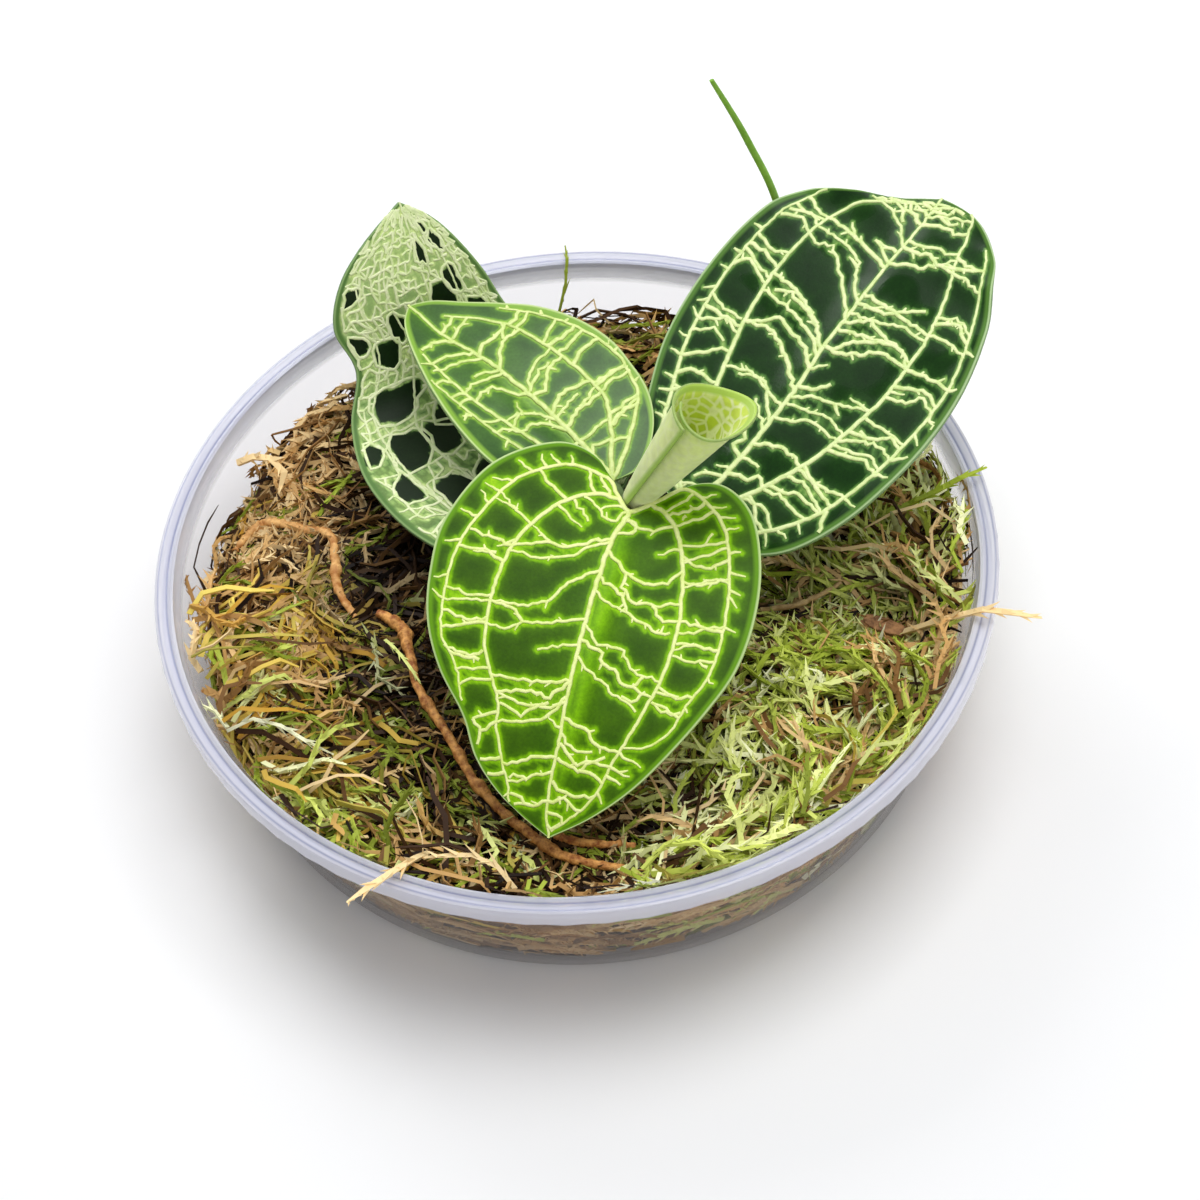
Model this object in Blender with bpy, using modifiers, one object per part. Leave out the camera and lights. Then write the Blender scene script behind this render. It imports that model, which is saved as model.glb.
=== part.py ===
"""A jewel orchid growing in moss in its shallow clear pot.

The pot's axis is the Z axis and its flat base lies on z = 0. The side towards the viewer is -Y.
Every size below is in millimetres, and MM turns it into metres where a mesh is made.
"""
import math

import bmesh
import bpy
import numpy as np

MM = 0.001
TOUCH_GAP = 0.35

# Pot
RIM_RADIUS = 58.5
POT_HEIGHT = 26.6
BASE_RADIUS = 51.6
WALL = 0.8
BODY_TOP_RADIUS = 56.0
RIM_LIP = 2.7
SKIRT_DEPTH = 3.0
POT_SIDES = 48

# Moss
MOSS_LEVEL = 16.6
MOSS_TILT = 1.6
MOSS_LUMP = 0.8
MOSS_RINGS = 10

# Plant
LEAF_THICKNESS = 0.75
STALK_RADIUS = 1.0
STEM_TOP = 37.0
STEM_RADII = (1.8, 2.0, 2.2, 2.2, 2.1, 1.4)
STEM_SECTIONS = 20
ROLL_BASE = (8.9, -3.0, 38.2)
ROLL_MOUTH = (19.4, -4.6, 56.0)

# Leaf tables: each blade is drawn flat, with x along its midrib and y to its own left. mid, left and
# right hold matching stations along the midrib and the two margins, so the long veins run between them.
LEAF_FRONT = {
    "base": (7.9, -5.6, 39.2), "heading": -109.0, "turn": -2.0, "pitch": (-8, -20, -33),
    "length": 45.3, "cup": 0.0,
    "mid": (0, 0.6, 1.5, 3, 6, 11, 16.7, 22.7, 28.5, 34, 39, 43, 45.3),
    "left": ((-0.3, 0.9), (-2.2, 3.5), (-5.6, 7.6), (-6, 12), (-2.3, 16.3), (5, 19), (12.5, 19.8),
             (19.5, 19), (25.5, 16.5), (31.8, 13), (37.2, 9.3), (41.8, 4.8), (45.3, 0)),
    "right": ((-0.3, -0.9), (-2.6, -2.4), (-7.6, -6.5), (-8.8, -12.5), (-4, -20), (5.5, -24), (13.5, -24),
              (20.5, -22.5), (26.6, -19.3), (32.2, -14.6), (37.4, -11.5), (41.6, -6.8), (45.3, 0)),
}
LEAF_RIGHT = {
    "base": (16.4, 0.4, 32.4), "heading": 41.5, "turn": 0.0, "pitch": (21, 21, 18),
    "length": 56.0, "cup": 0.4,
    "mid": (0, 0.8, 2.5, 6, 12, 19, 27, 35, 42, 47.5, 51.5, 54.2, 56),
    "left": ((0, 1), (-0.5, 4), (1.5, 8.7), (5, 13), (11, 16.5), (18, 19.5), (26.5, 21.2), (35, 21.3),
             (42, 20), (47, 17), (50, 11.5), (52.4, 5.5), (56, 0)),
    "right": ((-0.5, -1), (-3.5, -6), (-1.6, -11.3), (2.3, -16.4), (9.5, -20.2), (17.5, -22), (25.5, -22.4),
              (33.5, -21.5), (41.5, -19), (47.5, -15.6), (52.3, -12), (55.6, -6.6), (56, 0)),
}
LEAF_LEFT = {
    "base": (6.2, 3.9, 34.9), "heading": 130.5, "turn": 0.0, "pitch": (13, 10, 2),
    "length": 41.5, "cup": 1.6,
    "mid": (0, 0.4, 1.1, 2.6, 5.6, 10, 15, 21, 26.5, 31, 35.8, 39.2, 41.5),
    "left": ((-0.4, 0.8), (-2, 3), (-1.5, 6), (1, 8.8), (5, 10.3), (10, 11), (15, 11.2), (21, 10.4),
             (26.5, 8.9), (31, 7.2), (35.8, 5), (39.2, 2.8), (41.5, 0)),
    "right": ((-0.4, -0.8), (-1.2, -4), (0.4, -7.8), (3.2, -11.2), (7, -13.6), (11.5, -14.8), (16, -15.4),
              (21.5, -14.6), (27, -12.4), (31.3, -9.4), (35.6, -5.8), (39.2, -2.9), (41.5, 0)),
}
LEAF_BACK = {
    "base": (1.8, 1.8, 27.4), "heading": 120.0, "turn": -8.0, "pitch": (2, -4, -4, -2, 4, 50, 68, 64, 58),
    "length": 63.0, "cup": 0.0,
    "mid": (0, 1, 4, 10, 18, 27, 35, 42, 49, 55, 59.5, 63),
    "left": ((-1, 1), (-1.5, 6), (1, 12), (6.5, 17), (15, 20), (26, 20.5), (35, 18), (42, 14), (49, 15),
             (55, 12), (59.5, 6.5), (63, 0)),
    "right": ((-0.5, -1), (1, -4.5), (4, -10), (9, -14.5), (17, -17.5), (27, -17.5), (35, -14.5), (42, -11),
              (49, -9), (55, -6.5), (59.5, -3.8), (63, 0)),
}

# Stalks run from the leaf blade down beside the stem, as x, y, z
STALK_FRONT = ((7.3, -7.6, 38.6), (7.6, -7.4, 36.8), (8.2, -6.2, 33.5), (8.6, -5.3, 29.0))
STALK_RIGHT = ((18.9, 2.6, 33.3), (16.0, 0.2, 31.8), (13.4, -0.8, 29.0), (12.8, -0.8, 24.5))
STALK_LEFT = ((5.0, 5.4, 34.9), (6.0, 4.2, 33.8), (6.9, 3.0, 32.0), (7.1, 2.5, 29.6))
STALK_BACK = ((0.4, 4.0, 27.3), (2.6, 2.3, 26.5), (4.1, 0.7, 24.0), (4.5, 0.3, 20.5))

# Stem and roots, as x, y, z down the middle of each
STEM_PATH = ((-14, 8.5, 8.5), (-6, 6, 8.8), (2, 3, 9.8), (7, 1, 14), (8.5, 0, 22), (8.6, -1.6, 30),
             (8.8, -3.0, STEM_TOP))
ROOT_PATHS = (
    ((9.4, -2.2, 13), (15, -8, 9.5), (23, -14, 6), (31, -17, 3.6)),
    ((1.2, 0.3, 8.8), (-3.5, -8, 7), (-7.5, -18, 4.8), (-9, -27, 3.6)),
    ((5.5, 4.8, 11), (11, 13, 8), (17, 23, 5), (20, 31, 3.8)),
    ((-8.5, 3.8, 7.6), (-17, 0, 6), (-26, 1, 4.4), (-34, 4, 3.6)),
)
ROOT_STARTS = ((8.6, 0.2, 13.2), (1.6, 3.1, 9.6), (6.3, 1.4, 12.6), (-7.2, 6.4, 8.7))
ROOT_RADII = (1.3, 1.3, 0.9)
CHANNEL_GAP = 0.65

# Dead runners, strands and scraps that lie on the moss, as x, y along each
RUNNER_LINE = ((-28.5, -2), (-24.9, -5), (-24, -9), (-22.8, -16), (-19, -25), (-15.3, -33), (-10.4, -39.8),
               (-4.8, -45.6), (2.8, -48.8))
FORK_LINE = ((-5.6, -42.0), (-1, -43.8), (4.5, -45.2))
ORANGE_LINE = ((-49.3, 12.6), (-45, 17.5), (-39.5, 16), (-35.3, 13.6), (-34.4, 3.5), (-31.6, -2.6))
STRAW_LINES = (((23.8, -5.2), (30.5, -8), (37.3, -11.2)), ((25, -9), (31, -8.4), (36.6, -6)))
STRAW_LIFTS = (0.9, 2.3)
SHOOT_PATHS = (((51.2, 8.8), (50.4, 7.8), 26.0), ((46.2, 1.4), (44.6, 1.8), 25.0))
CHIP_SIZE = (6.0, 2.4, 1.1)
CHIP_PLACE = (41.5, -13.5)

# Strands that rise out of the moss and lean over the rim, as x, y, z
RIM_SPRIG = ((44, -15.5, 19.9), (49, -17.6, 24.8), (53.5, -19.2, 28.3), (57, -20.3, 28.5), (61, -21, 27.8))
FRONT_SPRIG = ((-21, -42.5, 18.9), (-23.4, -47.3, 25), (-25.8, -51, 28.4), (-29, -53.2, 28.7), (-31.6, -54.6, 28))
GREEN_SPRIG = ((42.4, 5.6, 19.4), (48.5, 3.6, 24.4), (53, 3.4, 28), (58.3, 5, 28.8))
BACK_STRAND = ((-2, 46, 18.4), (0.6, 49.6, 21), (2.3, 52.6, 25.4), (2.8, 55.5, 27.7), (2.7, 58.4, 27.7))
GRASS_PATH = ((36, 36.5, 19.2), (35.6, 40, 27), (34.2, 45, 43), (29.5, 44.6, 57.5), (24.4, 41.2, 71.4))


def clear_scene():
    for thing in list(bpy.data.objects):
        bpy.data.objects.remove(thing, do_unlink=True)


def new_collection(name):
    collection = bpy.data.collections.new(name)
    bpy.context.scene.collection.children.link(collection)
    return collection


def plastic_or_plant(name, colour, roughness, alpha=1.0):
    """One Principled material."""
    material = bpy.data.materials.new(name)
    material.use_nodes = True
    shader = material.node_tree.nodes["Principled BSDF"]
    shader.inputs["Base Color"].default_value = (*colour, 1.0)
    shader.inputs["Roughness"].default_value = roughness
    shader.inputs["Metallic"].default_value = 0.0
    shader.inputs["Alpha"].default_value = alpha
    return material


def add_object(name, mesh, material=None):
    """A named object on the world origin, in the parts or the cutters collection."""
    piece = bpy.data.objects.new(name, mesh)
    if material is None:
        cutters.objects.link(piece)
        piece.hide_render = True
        piece.display_type = "WIRE"
    else:
        parts.objects.link(piece)
        mesh.materials.clear()
        mesh.materials.append(material)
    return piece


def smooth_points(points, count):
    """Points on the Catmull-Rom curve through a few given points, end to end."""
    knots = np.array(points, dtype=float)
    last = len(knots) - 1
    place = np.linspace(0.0, last, count)
    index = np.minimum(place.astype(int), last - 1)
    part = (place - index)[:, None]
    before, start, end, after = (knots[np.clip(index + step, 0, last)] for step in (-1, 0, 1, 2))
    return 0.5 * (2 * start + (end - before) * part
                  + (2 * before - 5 * start + 4 * end - after) * part ** 2
                  + (3 * start - before - 3 * end + after) * part ** 3)


def evaluated_mesh(piece):
    """The mesh of an object with its modifiers applied, and the object removed."""
    graph = bpy.context.evaluated_depsgraph_get()
    mesh = bpy.data.meshes.new_from_object(piece.evaluated_get(graph))
    bpy.data.objects.remove(piece, do_unlink=True)
    return mesh


def face_outwards(mesh, weld=1e-7):
    """Weld a mesh's loose seams and turn all its faces outwards."""
    body = bmesh.new()
    body.from_mesh(mesh)
    bmesh.ops.remove_doubles(body, verts=body.verts, dist=weld)
    bmesh.ops.recalc_face_normals(body, faces=body.faces)
    if body.calc_volume(signed=True) < 0:
        bmesh.ops.reverse_faces(body, faces=body.faces)
    body.to_mesh(mesh)
    body.free()


def tube_mesh(name, points, radii, sections=14, resolution=1):
    """A closed tube through the points. Radii are given along it and are spread evenly.

    Without a number of sections, the points are used just as they are."""
    curve = bpy.data.curves.new(name, "CURVE")
    curve.dimensions = "3D"
    curve.bevel_depth = MM
    curve.bevel_resolution = resolution
    curve.use_fill_caps = True
    path = np.array(points) if sections is None else smooth_points(points, sections)
    widths = np.interp(np.linspace(0, 1, len(path)), np.linspace(0, 1, len(radii)), radii)
    spline = curve.splines.new("POLY")
    spline.points.add(len(path) - 1)
    for point, place, width in zip(spline.points, path, widths):
        point.co = (*(place * MM), 1.0)
        point.radius = width
    guide = bpy.data.objects.new(name + "_path", curve)
    cutters.objects.link(guide)
    mesh = evaluated_mesh(guide)
    face_outwards(mesh, 1e-6)
    mesh.name = name
    return mesh


def join_bodies(name, first, second, material, solver="EXACT"):
    """One body made of two overlapping meshes."""
    whole = add_object(name, first, material)
    joiner = add_object(name + "_joiner", second)
    union = whole.modifiers.new("join", "BOOLEAN")
    union.operation = "UNION"
    union.object = joiner
    union.solver = solver
    mesh = evaluated_mesh(whole)
    bpy.data.objects.remove(joiner, do_unlink=True)
    face_outwards(mesh)
    mesh.name = name
    return add_object(name, mesh, material)


def inner_radius(height):
    """Radius of the pot's inner face at a height in millimetres."""
    slope = (BODY_TOP_RADIUS - BASE_RADIUS) / (POT_HEIGHT - SKIRT_DEPTH)
    return BASE_RADIUS - WALL + slope * height


def pot_profile():
    """Radius and height round the wall's section, from the floor's middle up inside and down outside."""
    top = POT_HEIGHT
    ledge = top - SKIRT_DEPTH
    lip_inner = RIM_RADIUS - RIM_LIP
    return (
        (0, WALL), (BASE_RADIUS - 3.0, WALL), (inner_radius(2.0) - 0.5, WALL + 0.6), (inner_radius(2.6), 2.6),
        (inner_radius(ledge), ledge), (lip_inner - 0.2, ledge + 0.7), (lip_inner, top - 0.2),
        (lip_inner + 0.3, top), (RIM_RADIUS - 0.4, top), (RIM_RADIUS, top - 0.5),
        (RIM_RADIUS - 0.1, ledge), (RIM_RADIUS - 0.9, ledge), (RIM_RADIUS - 1.0, top - 0.9),
        (BODY_TOP_RADIUS + 0.7, top - 1.0), (BODY_TOP_RADIUS, ledge - 0.2),
        (BASE_RADIUS + 0.3, 1.8), (BASE_RADIUS - 0.5, 0.4), (BASE_RADIUS - 1.4, 0), (0, 0),
    )


def turned_mesh(name, profile, sides):
    """A closed body turned round Z from a profile of radius and height."""
    mesh = bpy.data.meshes.new(name)
    body = bmesh.new()
    verts = [body.verts.new((radius * MM, 0, height * MM)) for radius, height in profile]
    for start, end in zip(verts, verts[1:]):
        body.edges.new((start, end))
    body.to_mesh(mesh)
    body.free()
    turner = add_object(name + "_profile", mesh)
    screw = turner.modifiers.new("turn", "SCREW")
    screw.steps = sides
    screw.render_steps = sides
    screw.use_merge_vertices = True
    screw.merge_threshold = 0.00005
    screw.use_normal_calculate = True
    turned = evaluated_mesh(turner)
    face_outwards(turned)
    turned.name = name
    return turned


def build_pot():
    clear = plastic_or_plant("clear_plastic", (0.86, 0.87, 0.93), 0.12, 0.3)
    pot = add_object("pot", turned_mesh("pot", pot_profile(), POT_SIDES), clear)
    pot.data.shade_smooth()
    pot.data.set_sharp_from_angle(angle=math.radians(35))


def moss_top(x, y):
    """Height of the moss bed's upper face: it rises to the front right, in low lumps."""
    tilt = MOSS_TILT * (x - y) / (1.4 * BASE_RADIUS)
    lumps = MOSS_LUMP * np.sin(x / 6.5 + 1.0) * np.cos(y / 7.5)
    return MOSS_LEVEL + tilt + lumps


def moss_mesh():
    """A lumpy cake that fills the pot: rings out to the wall, then down it, closed below."""
    body = bmesh.new()
    bottom = WALL + TOUCH_GAP
    side_levels = (0.86, 0.5, 0.12, 0.0)
    rings = []
    for step in range(1, MOSS_RINGS + 1):
        share = step / MOSS_RINGS
        ring = []
        for side in range(POT_SIDES):
            angle = 2 * math.pi * side / POT_SIDES
            radius = share * (inner_radius(MOSS_LEVEL) - 1.2)
            x = radius * math.cos(angle)
            y = radius * math.sin(angle)
            ring.append(body.verts.new((x * MM, y * MM, float(moss_top(x, y)) * MM)))
        rings.append(ring)
    for level in side_levels:
        ring = []
        for side in range(POT_SIDES):
            angle = 2 * math.pi * side / POT_SIDES
            top = float(moss_top(BASE_RADIUS * math.cos(angle), BASE_RADIUS * math.sin(angle)))
            height = bottom + (top - bottom) * level
            radius = inner_radius(height) - 2 * TOUCH_GAP - (2.2 if level == 0.0 else 0.0)
            ring.append(body.verts.new((radius * math.cos(angle) * MM, radius * math.sin(angle) * MM,
                                        height * MM)))
        rings.append(ring)
    for upper, lower in zip(rings, rings[1:]):
        for side in range(POT_SIDES):
            after = (side + 1) % POT_SIDES
            body.faces.new((upper[side], lower[side], lower[after], upper[after]))
    middle = body.verts.new((0, 0, float(moss_top(0, 0)) * MM))
    for side in range(POT_SIDES):
        body.faces.new((middle, rings[0][side], rings[0][(side + 1) % POT_SIDES]))
    body.faces.new(reversed(rings[-1]))
    bmesh.ops.recalc_face_normals(body, faces=body.faces)
    mesh = bpy.data.meshes.new("moss_bed")
    body.to_mesh(mesh)
    body.free()
    return mesh


def root_path(number):
    """A root's points from inside the stem outwards, and how many of them lie inside the stem."""
    path = smooth_points((ROOT_STARTS[number], *ROOT_PATHS[number]), 4 * len(ROOT_PATHS[number]) + 1)
    return path, 4


def longer(path, extra):
    """A path with a little more length at both of its ends."""
    path = np.array(path, dtype=float)
    start = path[0] - path[1]
    end = path[-1] - path[-2]
    start = path[0] + start * extra / np.linalg.norm(start)
    end = path[-1] + end * extra / np.linalg.norm(end)
    return np.vstack([start, path, end])


def build_moss():
    """The moss, with open channels where the stem and the roots run through it."""
    green = plastic_or_plant("moss", (0.2, 0.17, 0.06), 0.95)
    moss = add_object("moss_bed", moss_mesh(), green)
    stem = longer(smooth_points(STEM_PATH, STEM_SECTIONS), CHANNEL_GAP)
    channels = [tube_mesh("stem_channel", stem, [radius + CHANNEL_GAP for radius in STEM_RADII], None, 2)]
    for number in range(len(ROOT_PATHS)):
        path, _ = root_path(number)
        wide = [radius + CHANNEL_GAP for radius in ROOT_RADII]
        channels.append(tube_mesh("root_channel", longer(path, CHANNEL_GAP), wide, None, 1))
    for channel in channels:
        cutter = add_object("moss_cutter", channel)
        cut = moss.modifiers.new("channel", "BOOLEAN")
        cut.operation = "DIFFERENCE"
        cut.object = cutter
    moss.data.shade_smooth()


def build_stem_and_roots():
    flesh = plastic_or_plant("stem_flesh", (0.33, 0.36, 0.16), 0.5)
    stem = tube_mesh("stem", smooth_points(STEM_PATH, STEM_SECTIONS), STEM_RADII, None, 2)
    add_object("stem", stem, flesh).data.shade_smooth()
    root_skin = plastic_or_plant("root_skin", (0.45, 0.33, 0.2), 0.8)
    for number in range(len(ROOT_PATHS)):
        path, inside_stem = root_path(number)
        name = f"root_{number + 1}"
        root = tube_mesh(name, path[inside_stem:], ROOT_RADII, None, 1)
        add_object(name, root, root_skin).data.shade_smooth()


def midrib_frame(leaf, samples=120):
    """Places and directions along a leaf's midrib, from a little behind its base to past its tip."""
    along = np.linspace(-0.3, 1.1, samples)
    inside = np.clip(along, 0.0, 1.0)
    pitches = np.interp(inside, np.linspace(0, 1, len(leaf["pitch"])), leaf["pitch"])
    pitch = np.radians(pitches)
    heading = np.radians(leaf["heading"] + leaf["turn"] * inside)
    level = np.stack([np.cos(heading), np.sin(heading), np.zeros(samples)], axis=1)
    forward = level * np.cos(pitch)[:, None]
    forward[:, 2] = np.sin(pitch)
    step = (along[1] - along[0]) * leaf["length"]
    places = np.cumsum(forward, axis=0) * step
    base = np.array([np.interp(0.0, along, places[:, axis]) for axis in range(3)])
    places = places - base + np.array(leaf["base"])
    side = np.stack([-np.sin(heading), np.cos(heading), np.zeros(samples)], axis=1)
    return along, places, side, np.cross(forward, side)


def bend_leaf(leaf, flat_x, flat_y):
    """Flat leaf places carried onto the curved midrib, with the blade cupped across it."""
    along, places, side, upward = midrib_frame(leaf)
    share = flat_x / leaf["length"]

    def read(table):
        return np.stack([np.interp(share, along, table[:, axis]) for axis in range(3)], axis=1)

    curl = leaf["cup"] / 100.0
    angle = curl * flat_y
    across = flat_y if curl == 0.0 else np.sin(angle) / curl
    rise = 0.0 * flat_y if curl == 0.0 else (1.0 - np.cos(angle)) / curl
    return read(places) + read(side) * across[:, None] + read(upward) * rise[:, None]


def blade_mesh(name, leaf, rows=20, half_columns=6):
    """A leaf blade: a flat grid drawn out to the two margins, bent, and given its thickness."""
    columns = 2 * half_columns
    body = bmesh.new()
    bmesh.ops.create_grid(body, x_segments=rows, y_segments=columns, size=1.0)
    verts = sorted(body.verts, key=lambda vert: (round(vert.co.x, 4), round(vert.co.y, 4)))
    row_places = np.repeat(np.arange(rows + 1), columns + 1)
    across = np.tile(np.linspace(-1, 1, columns + 1), rows + 1)
    middle = smooth_points([(x, 0.0) for x in leaf["mid"]], rows + 1)[row_places]
    left = smooth_points(leaf["left"], rows + 1)[row_places]
    right = smooth_points(leaf["right"], rows + 1)[row_places]
    margin = np.where(across[:, None] > 0, left, right)
    reach = np.abs(across)[:, None]
    flat = middle * (1 - reach) + margin * reach
    curved = bend_leaf(leaf, flat[:, 0], flat[:, 1])
    for vert, place in zip(verts, curved):
        vert.co = place * MM
    bmesh.ops.remove_doubles(body, verts=body.verts, dist=2e-5)
    bmesh.ops.recalc_face_normals(body, faces=body.faces)
    mesh = bpy.data.meshes.new(name)
    body.to_mesh(mesh)
    body.free()
    sheet = add_object(name + "_sheet", mesh)
    thick = sheet.modifiers.new("thickness", "SOLIDIFY")
    thick.thickness = LEAF_THICKNESS * MM
    thick.offset = 0.0
    return evaluated_mesh(sheet)


def build_leaf(name, leaf, stalk_path, colour, roughness, solver="EXACT"):
    skin = plastic_or_plant(name + "_skin", colour, roughness)
    stalk_radii = (0.6 * STALK_RADIUS, STALK_RADIUS, STALK_RADIUS)
    stalk = tube_mesh(name + "_stalk", stalk_path, stalk_radii, 8, 1)
    grown = join_bodies(name, blade_mesh(name, leaf), stalk, skin, solver)
    grown.data.shade_smooth()


def scroll_mesh(turns=1.16, rows=9, columns=26, wall=0.4, edge_angle=40, tip_angle=270):
    """The rolled sheet of the new leaf: a widening scroll, its free edge outside, higher on its tip side."""
    base = np.array(ROLL_BASE)
    axis = np.array(ROLL_MOUTH) - base
    length = float(np.linalg.norm(axis))
    axis = axis / length
    outward = np.cross(axis, (0.0, 0.0, 1.0))
    outward = outward / np.linalg.norm(outward)
    upward = np.cross(outward, axis)
    body = bmesh.new()
    bmesh.ops.create_grid(body, x_segments=rows, y_segments=columns, size=1.0)
    for vert in body.verts:
        share = (vert.co.x + 1) / 2
        turn = (vert.co.y + 1) / 2 * turns
        angle = 2 * math.pi * (turns - turn) + math.radians(edge_angle)
        girth = 0.7 + 2.95 * share ** 0.85 + turn * (0.55 + 0.5 * share)
        height = length * share * (1.0 + 0.08 * math.cos(angle - math.radians(tip_angle)))
        vert.co = (base + axis * height + girth * (outward * math.cos(angle) + upward * math.sin(angle))) * MM
    bmesh.ops.recalc_face_normals(body, faces=body.faces)
    mesh = bpy.data.meshes.new("scroll")
    body.to_mesh(mesh)
    body.free()
    sheet = add_object("scroll_sheet", mesh)
    thick = sheet.modifiers.new("thickness", "SOLIDIFY")
    thick.thickness = wall * MM
    thick.offset = 0.0
    return evaluated_mesh(sheet)


def build_rolled_leaf():
    """The new leaf, still rolled up, standing on the stem's tip and closed at its foot."""
    silk = plastic_or_plant("new_leaf_skin", (0.5, 0.6, 0.3), 0.45)
    start = np.array(ROLL_BASE)
    end = np.array(ROLL_MOUTH)
    foot = tube_mesh("scroll_foot", (start - 0.01 * (end - start), start + 0.12 * (end - start)), (1.1, 1.5, 1.6), 5, 2)
    join_bodies("leaf_rolled", scroll_mesh(), foot, silk).data.shade_smooth()


def lie_on_moss(line, lift):
    """A line of x and y laid over the moss at a given height above it."""
    return [(x, y, float(moss_top(x, y)) + lift) for x, y in line]


def build_runners():
    """Dead brown runners that cross the moss, the thicker one with its joint."""
    bark = plastic_or_plant("dead_runner_bark", (0.3, 0.14, 0.06), 0.85)
    orange = plastic_or_plant("orange_root_skin", (0.5, 0.24, 0.09), 0.8)
    runner = tube_mesh("brown_runner", lie_on_moss(RUNNER_LINE, 1.7), (0.9, 1.3, 0.9, 1.0, 1.0, 1.0, 0.8), 24, 1)
    add_object("brown_runner", runner, bark).data.shade_smooth()
    fork = tube_mesh("runner_fork", lie_on_moss(FORK_LINE, 1.3), (0.8, 0.7, 0.5), 8, 1)
    add_object("runner_fork", fork, bark).data.shade_smooth()
    root = tube_mesh("orange_root", lie_on_moss(ORANGE_LINE, 1.6), (0.6, 0.8, 0.7, 0.8, 0.6), 20, 1)
    add_object("orange_root", root, orange).data.shade_smooth()


def build_strands():
    """Single strands that stand clear of the moss or lean over the rim."""
    green = plastic_or_plant("strand_green", (0.25, 0.35, 0.1), 0.8)
    tan = plastic_or_plant("strand_tan", (0.5, 0.4, 0.22), 0.85)
    pale = plastic_or_plant("shoot_pale", (0.55, 0.6, 0.38), 0.6)
    grass = plastic_or_plant("grass_green", (0.2, 0.42, 0.06), 0.5)
    leaning = (("rim_sprig", RIM_SPRIG, tan, 0.45), ("front_sprig", FRONT_SPRIG, tan, 0.5),
               ("green_sprig", GREEN_SPRIG, green, 0.45), ("back_strand", BACK_STRAND, green, 0.4))
    for name, path, material, radius in leaning:
        add_object(name, tube_mesh(name, path, (radius, radius, 0.6 * radius), 12, 1), material)
    add_object("grass_blade", tube_mesh("grass_blade", GRASS_PATH, (0.6, 0.6, 0.4), 16, 1), grass)
    for number, (foot, tip, height) in enumerate(SHOOT_PATHS, start=1):
        path = lie_on_moss((foot,), 0.9) + [(*tip, height)]
        name = f"pale_shoot_{number}"
        add_object(name, tube_mesh(name, path, (0.6, 0.6, 0.3), 6, 1), pale)
    for number, (line, lift) in enumerate(zip(STRAW_LINES, STRAW_LIFTS), start=1):
        name = f"straw_{number}"
        add_object(name, tube_mesh(name, lie_on_moss(line, lift), (0.4, 0.4, 0.3), 8, 1), tan)


def build_chip():
    """A flat chip of bark lying on the moss."""
    bark = plastic_or_plant("bark", (0.33, 0.22, 0.12), 0.9)
    x, y = CHIP_PLACE
    mesh = bpy.data.meshes.new("bark_chip")
    body = bmesh.new()
    bmesh.ops.create_cube(body, size=1.0)
    bmesh.ops.scale(body, vec=[side * MM for side in CHIP_SIZE], verts=body.verts)
    body.to_mesh(mesh)
    body.free()
    chip = add_object("bark_chip", mesh, bark)
    chip.rotation_euler = (0, math.radians(4), math.radians(-28))
    chip.location = (x * MM, y * MM, (float(moss_top(x, y)) + CHIP_SIZE[2] / 2 + 0.8) * MM)
    soft = chip.modifiers.new("worn edges", "BEVEL")
    soft.width = 0.3 * MM
    soft.segments = 2


clear_scene()
parts = new_collection("jewel_orchid_in_pot")
cutters = new_collection("cutters")
build_pot()
build_moss()
build_stem_and_roots()
build_leaf("leaf_front", LEAF_FRONT, STALK_FRONT, (0.12, 0.32, 0.02), 0.4)
build_leaf("leaf_right", LEAF_RIGHT, STALK_RIGHT, (0.02, 0.1, 0.03), 0.3, "MANIFOLD")
build_leaf("leaf_left", LEAF_LEFT, STALK_LEFT, (0.07, 0.22, 0.05), 0.35)
build_leaf("leaf_back", LEAF_BACK, STALK_BACK, (0.03, 0.12, 0.03), 0.4)
build_rolled_leaf()
build_runners()
build_strands()
build_chip()
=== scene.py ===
"""A young jewel orchid growing in damp moss in its shallow clear pot.

Sizes are in millimetres unless a name says otherwise, and MM turns them into metres where a mesh is made.
The pot's axis is Z, its flat base stands on z = 0 and the viewer is on the -Y side.
"""
import math

import bpy
import numpy as np
from mathutils import Matrix, Vector
from mathutils.bvhtree import BVHTree


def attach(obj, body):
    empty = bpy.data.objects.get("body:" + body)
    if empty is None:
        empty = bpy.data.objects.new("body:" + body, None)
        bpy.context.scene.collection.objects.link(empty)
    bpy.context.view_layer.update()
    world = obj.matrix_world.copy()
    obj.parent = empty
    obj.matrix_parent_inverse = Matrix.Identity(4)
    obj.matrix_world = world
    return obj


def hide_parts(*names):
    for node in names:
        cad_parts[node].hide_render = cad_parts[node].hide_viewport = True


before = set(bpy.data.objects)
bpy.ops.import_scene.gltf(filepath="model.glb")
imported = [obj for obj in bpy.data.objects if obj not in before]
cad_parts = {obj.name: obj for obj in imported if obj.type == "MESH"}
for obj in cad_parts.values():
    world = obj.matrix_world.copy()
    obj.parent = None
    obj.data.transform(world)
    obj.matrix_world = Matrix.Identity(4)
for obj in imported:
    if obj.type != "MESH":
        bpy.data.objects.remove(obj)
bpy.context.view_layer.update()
MM = 0.001


# The camera and the studio: the camera stands where the photograph was taken from, over a plain pale
# floor. A broad soft lamp hangs over the plant, and two weaker ones light it from the back and the front.
POT_HEIGHT = 26.6
RIM_RADIUS = 58.5
VIEW_ELEVATION = math.radians(52.3)
VIEW_ROLL = math.radians(-5.4)
VIEW_ANGLE = math.radians(30)
# The camera's distance and its step aside, in shares of the rim's radius
VIEW_DISTANCE = 5.31
VIEW_ASIDE = (0.063, -0.132)
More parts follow.
